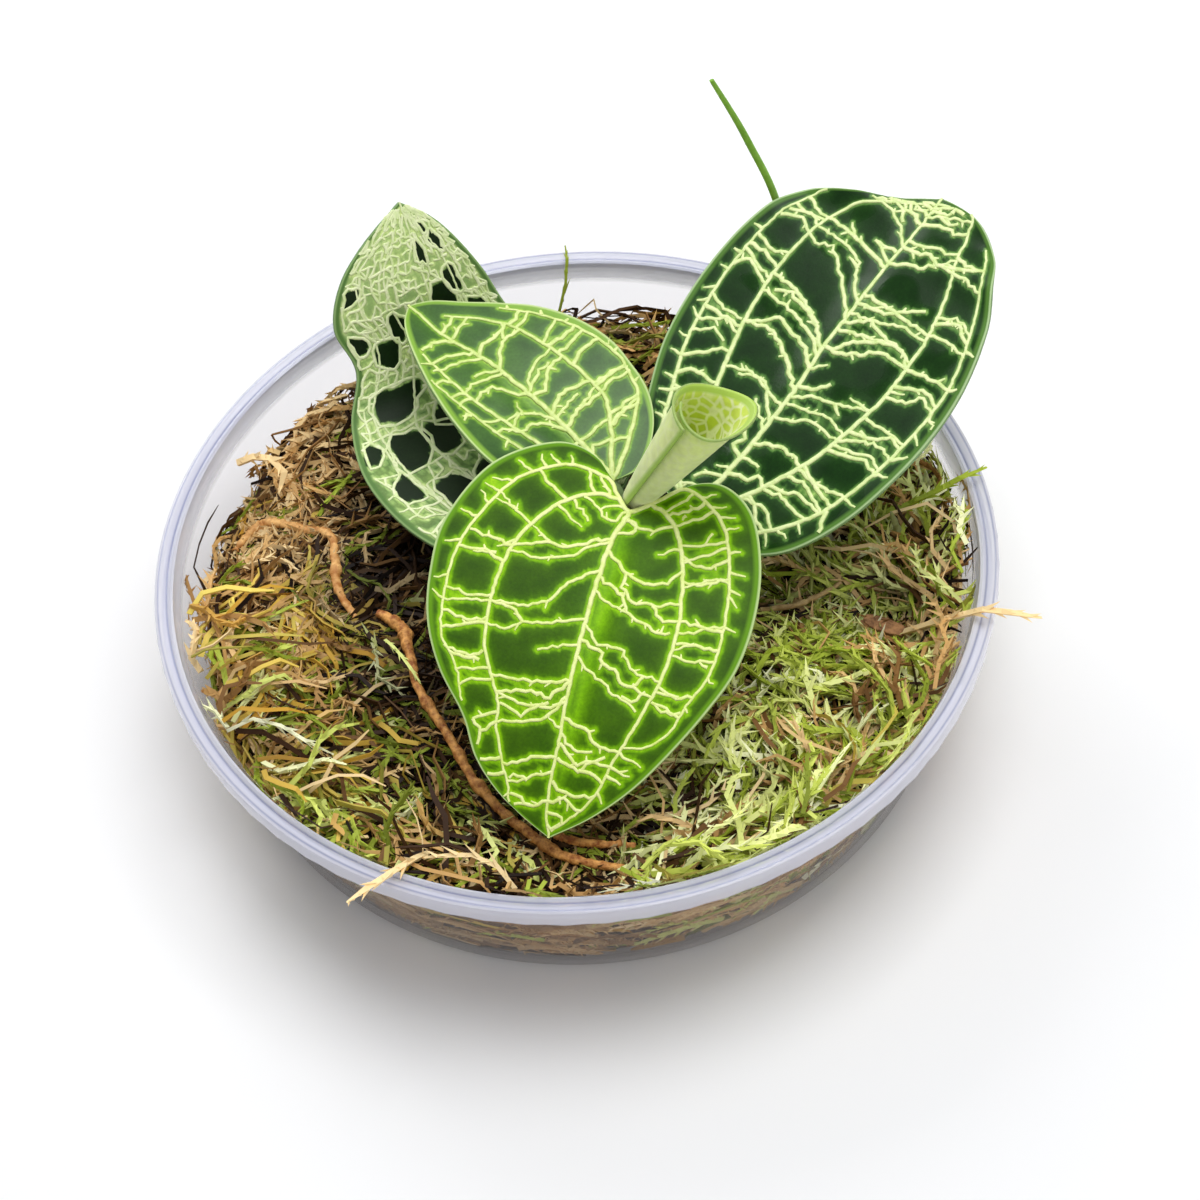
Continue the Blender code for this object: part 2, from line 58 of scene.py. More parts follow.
# Each lamp's name, place and width in metres, power in watts and tint
LAMPS = (
    ("overhead lamp", (0.12, 0.10, 0.75), 0.45, 3.6, (1, 1, 1)),
    ("back lamp", (-0.25, 0.55, 0.45), 0.35, 1.6, (1, 1, 1)),
    ("front lamp", (0.45, -0.55, 0.40), 0.5, 0.9, (1.0, 0.98, 0.94)),
)
LAMP_AIM = (0, 0, 0.03)
SKY_COLOUR = (0.93, 0.95, 1.0, 1)
SKY_STRENGTH = 0.42
FLOOR_WIDTH = 3.0
FLOOR_LEVEL = -0.0003
FLOOR_COLOUR = (0.93, 0.93, 0.93, 1)
CLEAR_LAYERS = 24


def place_camera():
    """Aim at the rim's middle, roll a little, and step aside."""
    towards = Vector((0, -math.cos(VIEW_ELEVATION), math.sin(VIEW_ELEVATION)))
    level = Vector((1, 0, 0))
    upright = towards.cross(level)
    across = math.cos(VIEW_ROLL) * level + math.sin(VIEW_ROLL) * upright
    upwards = -math.sin(VIEW_ROLL) * level + math.cos(VIEW_ROLL) * upright
    step = VIEW_ASIDE[0] * across + VIEW_ASIDE[1] * upwards + VIEW_DISTANCE * towards
    place = Vector((0, 0, POT_HEIGHT)) + RIM_RADIUS * step
    turned = Matrix((across, upwards, towards)).transposed().to_4x4()
    bpy.ops.object.camera_add()
    camera = bpy.context.object
    camera.matrix_world = Matrix.Translation(place * MM) @ turned
    camera.data.angle = VIEW_ANGLE
    camera.data.clip_start = 0.01
    bpy.context.scene.camera = camera


def hang_lamp(name, place, width, power, tint):
    """A square soft lamp that faces the plant."""
    bpy.ops.object.light_add(type="AREA", location=place)
    lamp = bpy.context.object
    lamp.name = name
    lamp.data.size = width
    lamp.data.energy = power
    lamp.data.color = tint
    aim = Vector(LAMP_AIM) - Vector(place)
    lamp.rotation_euler = aim.to_track_quat("-Z", "Y").to_euler()


def new_material(name):
    """An empty node material, its node tree and its shader node."""
    material = bpy.data.materials.new(name)
    material.use_nodes = True
    return material, material.node_tree, material.node_tree.nodes["Principled BSDF"]


place_camera()
for lamp_values in LAMPS:
    hang_lamp(*lamp_values)
bpy.context.scene.view_settings.view_transform = "Standard"
bpy.context.scene.cycles.transparent_max_bounces = CLEAR_LAYERS
sky = bpy.data.worlds.new("studio")
sky.use_nodes = True
sky.node_tree.nodes["Background"].inputs["Color"].default_value = SKY_COLOUR
sky.node_tree.nodes["Background"].inputs["Strength"].default_value = SKY_STRENGTH
bpy.context.scene.world = sky

bpy.ops.mesh.primitive_plane_add(size=FLOOR_WIDTH, location=(0, 0, FLOOR_LEVEL))
floor = bpy.context.object
floor.name = "studio_floor"
floor_finish, _, floor_shader = new_material("pale floor")
floor_shader.inputs["Base Color"].default_value = FLOOR_COLOUR
floor_shader.inputs["Roughness"].default_value = 0.8
floor.data.materials.append(floor_finish)


# The pot: a thin clear tub, drawn from one plastic sheet. Its rim is folded over into a double band with
# a ribbed skirt, so it looks milky lavender there, its colour bands holding painted reflection and lines of
# painted shade, and its thin wall shows the moss behind it.
BASE_RADIUS = 51.6
WALL = 0.8
BODY_TOP_RADIUS = 56.0
LIP_RADIUS = RIM_RADIUS - 2.7
LEDGE = POT_HEIGHT - 3.0
POT_SIDES = 144
RIB_DEPTH = 0.12
RIB_SPARE = 0.3
CLEAR_TINT = (0.945, 0.94, 0.945, 1)
WALL_COLOUR = (142, 136, 132)
# How milky the plastic is in the rim, where it is seen edge-on, and everywhere
RIM_MILK = 0.5
GLANCE_MILK = 0.5
WALL_MILK = 0.03
# Lavender bands of the rim, milky tint with painted reflection, with thin blue-grey lines of painted shade
# between them in the grooves, by radius, on a ramp of this span
BAND_START = 54.0
BAND_SPAN = 5.0
RIM_TINT_AND_PAINTED_LIGHT = (
    (55.5, (206, 208, 226)), (55.9, (236, 237, 250)), (56.5, (232, 234, 248)), (56.75, (146, 153, 190)),
    (57.0, (222, 224, 244)), (57.65, (236, 237, 250)), (57.9, (160, 167, 200)), (58.15, (240, 240, 252)),
)


def inner_radius(height):
    """Radius of the pot's inner face at a height."""
    return BASE_RADIUS - WALL + (BODY_TOP_RADIUS - BASE_RADIUS) / LEDGE * height


def screen(red, green, blue):
    """A colour as a screen shows it, 0 to 255, turned into the linear colour that a shader takes."""
    return (*((channel / 255) ** 2.2 for channel in (red, green, blue)), 1.0)


def feed(tree, socket, value):
    """Give a node's input another node's output, or a number or colour."""
    if isinstance(value, bpy.types.NodeSocket):
        tree.links.new(value, socket)
    else:
        socket.default_value = value


def noise_over(tree, scale, detail=3.0, roughness=0.55):
    """A noise pattern on the piece's own coordinates, at a scale per metre."""
    place = tree.nodes.new("ShaderNodeTexCoord")
    noise = tree.nodes.new("ShaderNodeTexNoise")
    noise.inputs["Scale"].default_value = scale
    noise.inputs["Detail"].default_value = detail
    noise.inputs["Roughness"].default_value = roughness
    tree.links.new(place.outputs["Object"], noise.inputs["Vector"])
    return noise.outputs["Fac"]


def ramp_of(tree, factor, stops):
    """A colour ramp read by a factor. Each stop is a place with a grey level, a screen colour or, with four
    numbers, a linear one."""
    ramp = tree.nodes.new("ShaderNodeValToRGB")
    band = ramp.color_ramp
    for number, (place, colour) in enumerate(stops):
        stop = band.elements[number] if number < 2 else band.elements.new(place)
        stop.position = place
        if isinstance(colour, (int, float)):
            stop.color = (colour, colour, colour, 1)
        else:
            stop.color = screen(*colour) if len(colour) == 3 else colour
    tree.links.new(factor, ramp.inputs["Fac"])
    return ramp.outputs["Color"]


def share_between(tree, value, low, high):
    """How far a measure lies between two others in millimetres, 0 to 1."""
    share = tree.nodes.new("ShaderNodeMapRange")
    share.inputs["From Min"].default_value = low * MM
    share.inputs["From Max"].default_value = high * MM
    tree.links.new(value, share.inputs["Value"])
    return share.outputs["Result"]


def bump(tree, height, shader, depth, strength=1.0):
    """A bump of a depth in millimetres on a shader's normal."""
    relief = tree.nodes.new("ShaderNodeBump")
    relief.inputs["Distance"].default_value = depth * MM
    relief.inputs["Strength"].default_value = strength
    tree.links.new(height, relief.inputs["Height"])
    tree.links.new(relief.outputs["Normal"], shader.inputs["Normal"])


def reckon(tree, operation, first, second):
    """A sum, product or power of two values."""
    maths = tree.nodes.new("ShaderNodeMath")
    maths.operation = operation
    feed(tree, maths.inputs[0], first)
    feed(tree, maths.inputs[1], second)
    return maths.outputs[0]


def blend_colours(tree, factor, first, second, way="MIX"):
    """A mix of two colours."""
    mix = tree.nodes.new("ShaderNodeMix")
    mix.data_type = "RGBA"
    mix.blend_type = way
    feed(tree, mix.inputs["Factor"], factor)
    feed(tree, mix.inputs["A"], first)
    feed(tree, mix.inputs["B"], second)
    return mix.outputs["Result"]


def clear_plastic():
    """Clear plastic that mirrors at a glance and turns milky in the thick rim, whose colour bands hold
    painted reflection and lines of painted shade.
    """
    material, tree, shader = new_material("clear_plastic_sheet")
    shader.inputs["Roughness"].default_value = 0.08
    place = tree.nodes.new("ShaderNodeTexCoord")
    axes = tree.nodes.new("ShaderNodeSeparateXYZ")
    tree.links.new(place.outputs["Object"], axes.inputs["Vector"])
    squares = [reckon(tree, "MULTIPLY", axes.outputs[axis], axes.outputs[axis]) for axis in "XY"]
    reach = reckon(tree, "POWER", reckon(tree, "ADD", *squares), 0.5)
    band = share_between(tree, reach, BAND_START, BAND_START + BAND_SPAN)
    # The rim's bands: milky lavender tint with painted reflection, and lines of painted shade in its grooves
    rim_rings_and_painted_light = ramp_of(tree, band, [
        ((radius - BAND_START) / BAND_SPAN, colour) for radius, colour in RIM_TINT_AND_PAINTED_LIGHT])
    rim_share = share_between(tree, axes.outputs["Z"], LEDGE - 0.6, LEDGE + 0.4)
    tint = blend_colours(tree, rim_share, screen(*WALL_COLOUR), rim_rings_and_painted_light)
    tree.links.new(tint, shader.inputs["Base Color"])
    glance = tree.nodes.new("ShaderNodeLayerWeight")
    glance.inputs["Blend"].default_value = 0.5
    edge_on = reckon(tree, "MULTIPLY", reckon(tree, "POWER", glance.outputs["Facing"], 3.0), GLANCE_MILK)
    milk = reckon(tree, "ADD", reckon(tree, "MULTIPLY", rim_share, RIM_MILK), edge_on)
    through = tree.nodes.new("ShaderNodeBsdfTransparent")
    through.inputs["Color"].default_value = CLEAR_TINT
    mix = tree.nodes.new("ShaderNodeMixShader")
    tree.links.new(reckon(tree, "ADD", milk, WALL_MILK), mix.inputs[0])
    tree.links.new(through.outputs["BSDF"], mix.inputs[1])
    tree.links.new(shader.outputs["BSDF"], mix.inputs[2])
    tree.links.new(mix.outputs["Shader"], tree.nodes["Material Output"].inputs["Surface"])
    return material


def stand_for(piece, node, slot, *skins):
    """Give a finished piece its skins, unless it has them, and put it in a CAD node's place."""
    for skin in skins:
        piece.data.materials.append(skin)
    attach(piece, "root")
    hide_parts(node)


# Radius and height of each ring of the wall's section, up the outside, over the rim and down the inside
POT_RINGS = (
    (BASE_RADIUS - 9.0, 0.0), (BASE_RADIUS - 1.6, 0.0), (BASE_RADIUS - 0.7, 0.25), (BASE_RADIUS, 1.0),
    (BASE_RADIUS + 0.35, 2.0), (BODY_TOP_RADIUS - 1.9, LEDGE - 9.0), (BODY_TOP_RADIUS - 0.1, LEDGE - 0.4),
    (BODY_TOP_RADIUS + 0.6, LEDGE + 0.3), (BODY_TOP_RADIUS + 0.7, POT_HEIGHT - 1.2),
    (BODY_TOP_RADIUS + 1.0, POT_HEIGHT - 0.95), (RIM_RADIUS - 1.2, POT_HEIGHT - 0.95),
    (RIM_RADIUS - 0.95, POT_HEIGHT - 1.2), (RIM_RADIUS - 0.9, LEDGE + 0.1), (RIM_RADIUS - 0.5, LEDGE - 0.1),
    (RIM_RADIUS - 0.1, LEDGE + 0.1), (RIM_RADIUS, POT_HEIGHT - 0.6), (RIM_RADIUS - 0.15, POT_HEIGHT - 0.15),
    (RIM_RADIUS - 0.5, POT_HEIGHT), (LIP_RADIUS + 1.5, POT_HEIGHT - 0.05),
    (LIP_RADIUS + 0.9, POT_HEIGHT - 0.35), (LIP_RADIUS + 0.4, POT_HEIGHT - 0.1),
    (LIP_RADIUS + 0.05, POT_HEIGHT - 0.3), (LIP_RADIUS - 0.1, LEDGE + 0.8),
    (inner_radius(LEDGE), LEDGE - 0.2), (inner_radius(LEDGE - 9.0), LEDGE - 9.0), (inner_radius(2.6), 2.6),
    (inner_radius(1.9) - 0.6, 1.2), (BASE_RADIUS - 3.2, WALL), (BASE_RADIUS - 9.0, WALL),
)
bpy.ops.object.select_all(action="DESELECT")
ring_radius, ring_level = POT_RINGS[0]
bpy.ops.mesh.primitive_circle_add(vertices=POT_SIDES, radius=ring_radius * MM, fill_type="NGON")
pot = bpy.context.object
pot.name = "clear_pot"
bpy.ops.object.mode_set(mode="EDIT")
bpy.ops.mesh.select_mode(type="EDGE")
bpy.ops.mesh.select_all(action="SELECT")
for next_radius, next_level in POT_RINGS[1:]:
    share = next_radius / ring_radius
    bpy.ops.mesh.extrude_edges_move()
    bpy.ops.transform.resize(value=(share, share, 1), center_override=(0, 0, ring_level * MM))
    bpy.ops.transform.translate(value=(0, 0, (next_level - ring_level) * MM))
    ring_radius, ring_level = next_radius, next_level
bpy.ops.mesh.edge_face_add()
bpy.ops.mesh.select_all(action="SELECT")
bpy.ops.mesh.normals_make_consistent(inside=False)
bpy.ops.object.mode_set(mode="OBJECT")
for vert in pot.data.vertices:
    on_skirt = math.hypot(vert.co.x, vert.co.y) > (RIM_RADIUS - RIB_SPARE) * MM
    side = round(math.atan2(vert.co.y, vert.co.x) / (2 * math.pi) * POT_SIDES)
    if on_skirt and vert.co.z < (POT_HEIGHT - RIB_SPARE) * MM and side % 2:
        vert.co.xy *= 1 - RIB_DEPTH / RIM_RADIUS
bpy.ops.object.shade_smooth_by_angle(angle=math.radians(40))
stand_for(pot, "pot", "clear_plastic", clear_plastic())


# The moss bed: a cake of damp dead moss that fills the pot, dark brown and darkened further with painted
# shade for the gaps between its strands. The loose strands lie over it and press against the wall, so it is
# only seen in the gaps.
MOSS_LEVEL = 16.6
MOSS_TILT = 1.6
MOSS_LUMP = 0.8
BED_DROP = 0.9
BED_FOOT = WALL + 0.3
BED_CLEARANCE = 1.3
BED_RIPPLE = 0.5
# The bed's colours: dark brown moss, its darkest stops painted shade of the gaps
PEAT_AND_GAP_SHADE_COLOURS = ((0.3, (14, 10, 6)), (0.5, (42, 29, 16)), (0.62, (80, 60, 34)), (0.75, (112, 92, 54)))


def moss_top(x, y):
    """Height of the bed's upper face: it rises to the front right, in low lumps."""
    tilt = MOSS_TILT * (x - y) / (1.4 * BASE_RADIUS)
    return MOSS_LEVEL + tilt + MOSS_LUMP * np.sin(x / 6.5 + 1.0) * np.cos(y / 7.5)


def vertex_places(piece, unit=MM):
    """A piece's vertices in millimetres, or in another unit."""
    places = np.empty(len(piece.data.vertices) * 3)
    piece.data.vertices.foreach_get("co", places)
    return places.reshape(-1, 3) / unit


def move_vertices(piece, places):
    """Put a piece's vertices at places in millimetres."""
    piece.data.vertices.foreach_set("co", np.ascontiguousarray(places * MM).ravel())
    piece.data.update()


def damp_peat_and_gap_shade():
    """Damp, crumbly moss, dark brown and darkened further with painted shade for the gaps between strands."""
    material, tree, shader = new_material("damp_dead_moss_and_gap_shade")
    grain = noise_over(tree, 420, 6.0, 0.7)
    tree.links.new(ramp_of(tree, grain, PEAT_AND_GAP_SHADE_COLOURS), shader.inputs["Base Color"])
    shader.inputs["Roughness"].default_value = 0.85
    bump(tree, grain, shader, 0.9)
    return material


bpy.ops.object.select_all(action="DESELECT")
bpy.ops.mesh.primitive_cylinder_add(vertices=120, radius=1.0, depth=2.0, end_fill_type="TRIFAN")
bed = bpy.context.object
bed.name = "moss_cake"
bpy.ops.object.mode_set(mode="EDIT")
bpy.ops.mesh.select_all(action="SELECT")
for _ in range(3):
    bpy.ops.mesh.subdivide(number_cuts=1)
bpy.ops.object.mode_set(mode="OBJECT")
bed_places = vertex_places(bed, 1.0)
bed_share = (bed_places[:, 2] + 1) / 2
bed_x = bed_places[:, 0] * (BASE_RADIUS - 1.0)
bed_y = bed_places[:, 1] * (BASE_RADIUS - 1.0)
bed_z = BED_FOOT + (moss_top(bed_x, bed_y) - BED_DROP - BED_FOOT) * bed_share
ripple = BED_RIPPLE * np.sin(bed_x / 1.7 + 2 * np.sin(bed_y / 2.3)) * np.sin(bed_y / 1.9 + bed_z / 1.3)
bed_z = bed_z + ripple * (bed_share > 0.99)
bed_reach = inner_radius(bed_z) - BED_CLEARANCE - 0.6 * np.abs(ripple)
bed_reach = bed_reach * np.hypot(bed_places[:, 0], bed_places[:, 1])
bed_angle = np.arctan2(bed_places[:, 1], bed_places[:, 0])
move_vertices(bed, np.stack([bed_reach * np.cos(bed_angle), bed_reach * np.sin(bed_angle), bed_z], axis=1))
bpy.ops.object.shade_smooth()
stand_for(bed, "moss_bed", "moss", damp_peat_and_gap_shade())


# The loose moss: feathery green shoots on the right, long yellow and brown fibres on the left, and tan
# bits between them. Each kind of shoot is modelled once, straight, and laid many times along bent lines.
SHOOT_STEPS = 4
SHOOT_TAPER = 0.97
SHOOT_TIP = 0.4
LEAFLET_TURN = 2.4
BRANCH_LEAN = math.radians(50)
BRANCH_LENGTH = 2.7
BRANCH_WIDTH = 0.34
PATH_STEPS = 9
# How a shoot snakes, how its first rise varies, and how far it sinks again
SNAKE = 0.55
SNAKE_WAVES = (3, 8)
RISE_SPAN = (0.3, 1.2)
SINK = 2.1
WALL_CLEARANCE = 0.3
# The grid that keeps shoots under the leaves and round the runners: its cell, its cells a side and the
# gap that each is given
CELL = 1.5
CELLS = 81
LEAF_SPARE = 1.5
LINE_SPARE = -0.6
OVER_MOSS = ("brown_runner", "runner_fork", "orange_root", "straw_1", "straw_2", "bark_chip")
# Brown, tan, yellow and green by the shade of a shoot, and the tone from painted shade low in the moss to
# painted light at its top
MOSS_COLOURS = (
    (0.02, (28, 16, 7)), (0.10, (62, 40, 20)), (0.20, (132, 96, 54)), (0.30, (196, 156, 98)),
    (0.38, (226, 200, 150)), (0.46, (182, 136, 44)), (0.54, (214, 192, 94)), (0.62, (98, 106, 34)),
    (0.72, (150, 166, 54)), (0.82, (196, 206, 98)), (0.90, (220, 224, 152)), (0.98, (238, 238, 200)),
)
PAINTED_SHADE_TONE = 0.15
PAINTED_LIGHT_TONE = 1.58
# Where the painted shade starts under the bed's face, and the height over which it lifts to painted light
PAINTED_SHADE_DROP = 1.6
PAINTED_LIGHT_SPAN = 5.0
# How far the moss climbs the wall, and how near to it
WALL_CLIMB = 9.5
CLIMB_REACH = 4.5
# Moss pressed against the wall: its depth behind it, stray from the level, stretch up and share of tan
WALL_DEPTH = (0.5, 1.6)
WALL_STRAY = 0.25
WALL_STRETCH = 1.3
TAN_WALL_SHARE = 0.6
TUFT_FIBRES = 32
# Painted shade in hollows of the moss, where it lies in its own shade: their middle, their reach and how dark
# they are
PAINTED_SHADE_HOLLOWS = (
    ((-29, 2), 11, 0.75), ((-24, -13), 10, 0.7), ((-17, -35), 10, 0.45), ((-30, -27), 7, 0.3),
    ((33, 2), 8, 0.5), ((27, -8), 5, 0.35), ((2, -47), 6, 0.3), ((-20, 20), 12, 0.6), ((43, -10), 5, 0.5),
    ((-36, -24), 20, 0.22), ((26, -24), 4, 0.4), ((36, -30), 4, 0.4), ((14, -40), 5, 0.4),
    ((40, 6), 4, 0.4), ((22, -38), 3, 0.35),
)
# Where each kind of moss lies: the middle of a patch, then shares of green, pale, dull green, tan, fluffy
# grey, yellow fibre, tan fibre and brown fibre
MOSS_PATCHES = (
    ((-41, 35), (0, 0, 1, 2, 6, 0, 3, 3)), ((-48, 22), (0, 0, 1, 2, 6, 0, 3, 3)),
    ((-37, 22), (0, 0, 1, 3, 5, 1, 2, 4)), ((-50, 4), (0, 0, 1, 4, 3, 1, 2, 4)),
    ((-43, -3), (0, 0, 1, 2, 1, 7, 2, 3)), ((-48, -18), (1, 2, 2, 2, 1, 5, 2, 2)),
    ((-37, -17), (0, 1, 3, 1, 0, 3, 2, 6)), ((-36, -33), (1, 2, 3, 2, 0, 6, 2, 2)),
    ((-26, -30), (1, 2, 4, 1, 0, 2, 1, 8)), ((-26, -14), (0, 0, 2, 0, 0, 0, 1, 12)),
    ((-30, 4), (0, 0, 1, 0, 0, 0, 0, 14)), ((-20, 16), (0, 0, 1, 0, 0, 0, 1, 12)),
    ((-16, -42), (1, 1, 2, 1, 0, 1, 2, 9)), ((-3, -48), (1, 0, 1, 1, 0, 0, 3, 9)),
    ((10, -47), (3, 4, 2, 2, 0, 0, 1, 4)), ((22, -43), (5, 7, 2, 2, 0, 0, 1, 2)),
    ((34, -38), (3, 5, 1, 4, 0, 1, 2, 1)), ((24, -27), (6, 6, 3, 1, 0, 0, 1, 3)),
    ((34, -20), (6, 6, 3, 1, 0, 0, 2, 2)), ((45, -24), (2, 3, 2, 4, 1, 0, 3, 3)),
    ((50, -10), (2, 2, 2, 3, 0, 0, 2, 5)), ((27, -10), (3, 3, 3, 1, 0, 0, 3, 5)),
    ((42, 2), (5, 5, 3, 2, 0, 0, 2, 2)), ((48, 14), (5, 5, 3, 2, 0, 0, 2, 2)),
    ((15, 48), (0, 0, 3, 2, 1, 0, 2, 6)), ((-8, 48), (0, 0, 3, 1, 1, 0, 2, 6)),
    ((5, 5), (0, 0, 2, 1, 0, 0, 1, 8)), ((35, 32), (2, 1, 3, 2, 1, 0, 2, 4)),
    ((-25, 42), (0, 0, 2, 2, 3, 0, 2, 5)),
)
TAN_KIND = 3
PATCH_SOFTNESS = 20
PATCH_PULL = 2.2
# Tufts of straight fibres: x, y, heading, shade and length
GOLDEN_TUFTS = (
    (-44, 3, -60, 0.46, 10), (-40, 0, -75, 0.47, 11), (-46, -3, -50, 0.49, 10), (-41, -7, -80, 0.47, 10),
    (-47, -10, -40, 0.52, 9), (-36, -4, -95, 0.45, 9), (-50, -16, -55, 0.56, 10), (-46, -19, -45, 0.57, 10),
    (-42, -24, -50, 0.55, 10), (-44, -28, -35, 0.57, 9), (-39, -30, -45, 0.54, 10),
    (-34, -36, -30, 0.56, 10), (-38, -37, -40, 0.57, 9), (-28, -40, -25, 0.54, 10),
    (-31, -44, -20, 0.56, 9), (-22, -46, -15, 0.5, 9), (-37, 8, -95, 0.53, 11), (-45, 12, -100, 0.4, 10),
    (-47, 20, -60, 0.37, 10), (-41, 26, -80, 0.37, 10), (47, -24, 70, 0.36, 9), (38, -36, 35, 0.38, 9),
    (49, -8, 95, 0.34, 9), (46, 10, 120, 0.36, 10),
)


def moss_colour():
    """Damp moss, coloured along its UV map: across it by the kind of shoot, up it from dark to light: lighter
    towards each shoot's tip, with painted shade low in the moss and painted light at its top.
    """
    material, tree, shader = new_material("loose_moss_strands")
    chart = tree.nodes.new("ShaderNodeUVMap")
    chart.uv_map = "OFBake"
    split = tree.nodes.new("ShaderNodeSeparateXYZ")
    tree.links.new(chart.outputs["UV"], split.inputs["Vector"])
    # Painted shade low in the moss and painted light at its top, read up the chart
    tone = tree.nodes.new("ShaderNodeMapRange")
    tone.inputs["To Min"].default_value = PAINTED_SHADE_TONE
    tone.inputs["To Max"].default_value = PAINTED_LIGHT_TONE
    tree.links.new(split.outputs["Y"], tone.inputs["Value"])
    colour = ramp_of(tree, split.outputs["X"], MOSS_COLOURS)
    skin = blend_colours(tree, 1.0, colour, tone.outputs["Result"], "MULTIPLY")
    tree.links.new(skin, shader.inputs["Base Color"])
    shader.inputs["Roughness"].default_value = 0.6
    shader.inputs["Specular IOR Level"].default_value = 0.2
    return material


def add_point(start, along, reach, width):
    """One pointed leaflet of three sides that leaves a shoot at a place on its stem."""
    middle = Vector((start, 0, 0)) + along * reach / 2
    turn = along.to_track_quat("Z", "Y").to_euler()
    bpy.ops.mesh.primitive_cone_add(vertices=3, radius1=width, depth=reach, location=middle, rotation=turn,
                                    end_fill_type="NOTHING")


def straight_shoot(length, stem, leaflets=0, leaf_length=0, leaf_width=0, splay=0, branches=0, flat=1.0):
    """One shoot along X as places and triangles: a stem of three sides, with pointed leaflets round it."""
    bpy.ops.object.select_all(action="DESELECT")
    bpy.ops.mesh.primitive_circle_add(vertices=3, radius=stem, fill_type="NGON", rotation=(0, math.pi / 2, 0))
    bpy.ops.object.transform_apply(location=False, rotation=True, scale=False)
    shoot = bpy.context.object
    bpy.ops.object.mode_set(mode="EDIT")
    bpy.ops.mesh.select_all(action="SELECT")
    for step in range(SHOOT_STEPS):
        bpy.ops.mesh.extrude_region_move(TRANSFORM_OT_translate={"value": (length / SHOOT_STEPS, 0, 0)})
        taper = SHOOT_TIP if step == SHOOT_STEPS - 1 else SHOOT_TAPER
        bpy.ops.transform.resize(value=(1, taper, taper))
    for number in range(leaflets):
        share = (number + 0.7) / leaflets
        turn = number * LEAFLET_TURN
        size = math.sin(math.pi * (0.12 + 0.8 * share)) ** 0.6
        lean = splay * (1.15 - 0.5 * share)
        along = Vector((math.cos(lean), math.sin(lean) * math.cos(turn), math.sin(lean) * math.sin(turn)))
        add_point(length * share, along, leaf_length * size, leaf_width * size)
    for number in range(branches):
        share = 0.12 + 0.76 * (number + 0.5) / branches
        side = 1 if number % 2 else -1
        along = Vector((math.cos(BRANCH_LEAN), side * math.sin(BRANCH_LEAN), 0.25 * side))
        reach = BRANCH_LENGTH * math.sin(math.pi * (0.2 + 0.7 * share))
        add_point(length * share, along, reach, BRANCH_WIDTH)
    bpy.ops.mesh.select_all(action="SELECT")
    bpy.ops.mesh.quads_convert_to_tris()
    bpy.ops.transform.resize(value=(1, 1, flat), center_override=(0, 0, 0))
    bpy.ops.object.mode_set(mode="OBJECT")
    places = vertex_places(shoot, 1.0)
    corners = np.empty(len(shoot.data.polygons) * 3, np.int32)
    shoot.data.polygons.foreach_get("vertices", corners)
    bpy.data.objects.remove(shoot, do_unlink=True)
    places[:, 0] = np.clip(places[:, 0] / length, 0, 1.02)
    return places, corners.reshape(-1, 3)


def lowest_over(names, spare):
    """The lowest point of some CAD nodes over each cell of a square grid, and a spare gap under it."""
    heights = np.full((CELLS + 2, CELLS + 2), 1000.0)
    for name in names:
        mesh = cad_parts[name].data
        faces = [face.vertices for face in mesh.polygons]
        tree = BVHTree.FromPolygons([vert.co for vert in mesh.vertices], faces)
        for row, column in np.ndindex(CELLS, CELLS):
            start = Vector(((row - CELLS // 2) * CELL * MM, (column - CELLS // 2) * CELL * MM, 0.003))
            hit = tree.ray_cast(start, Vector((0, 0, 1)))[0]
            if hit:
                heights[row + 1, column + 1] = min(heights[row + 1, column + 1], hit.z / MM)
    around = [heights[row:row + CELLS, column:column + CELLS] for row in range(3) for column in range(3)]
    return np.min(around, axis=0) - spare


def room_over(heights, x, y):
    """That height at any places."""
    row = np.clip(np.round(x / CELL).astype(int) + CELLS // 2, 0, CELLS - 1)
    column = np.clip(np.round(y / CELL).astype(int) + CELLS // 2, 0, CELLS - 1)
    return heights[row, column]


def bend_shoots(places, paths, widths, turns):
    """Places of one straight shoot bent along many paths, each path a row of points."""
    index = np.minimum((places[:, 0] * (PATH_STEPS - 1)).astype(int), PATH_STEPS - 2)
    part = (places[:, 0] * (PATH_STEPS - 1) - index)[None, :, None]
    middle = paths[:, index] * (1 - part) + paths[:, index + 1] * part
    ahead = np.gradient(paths, axis=1)
    ahead /= np.linalg.norm(ahead, axis=2, keepdims=True)
    side = np.cross(ahead, (0.05, 0.03, 1.0))
    side /= np.linalg.norm(side, axis=2, keepdims=True)
    upward = np.cross(side, ahead)
    cosine = np.cos(turns)[:, None, None]
    sine = np.sin(turns)[:, None, None]
    first = (side * cosine + upward * sine)[:, index]
    second = (upward * cosine - side * sine)[:, index]
    width = widths[:, None, None]
    return middle + width * (first * places[None, :, 1:2] + second * places[None, :, 2:3])


def moss_paths(chance, x, y, heading, length, rise, curl, lift):
    """Lines that leave the bed at x and y, arch over and sink again, in random directions."""
    column = (len(x), 1)
    share = np.linspace(0, 1, PATH_STEPS)[None, :]
    turn = heading[:, None] + curl * chance.normal(size=column) * share
    turn = turn + SNAKE * np.sin(share * chance.uniform(*SNAKE_WAVES, column) + chance.uniform(0, 6, column))
    pitch = rise * chance.uniform(*RISE_SPAN, column) * (1 - SINK * share)
    ahead = np.stack([np.cos(turn) * np.cos(pitch), np.sin(turn) * np.cos(pitch), np.sin(pitch)], axis=2)
    path = np.cumsum(ahead * (length[:, None] / (PATH_STEPS - 1))[..., None], axis=1)
    start = np.stack([x, y, moss_top(x, y) + lift], axis=1)
    return start[:, None, :] + path - path[:, :1]


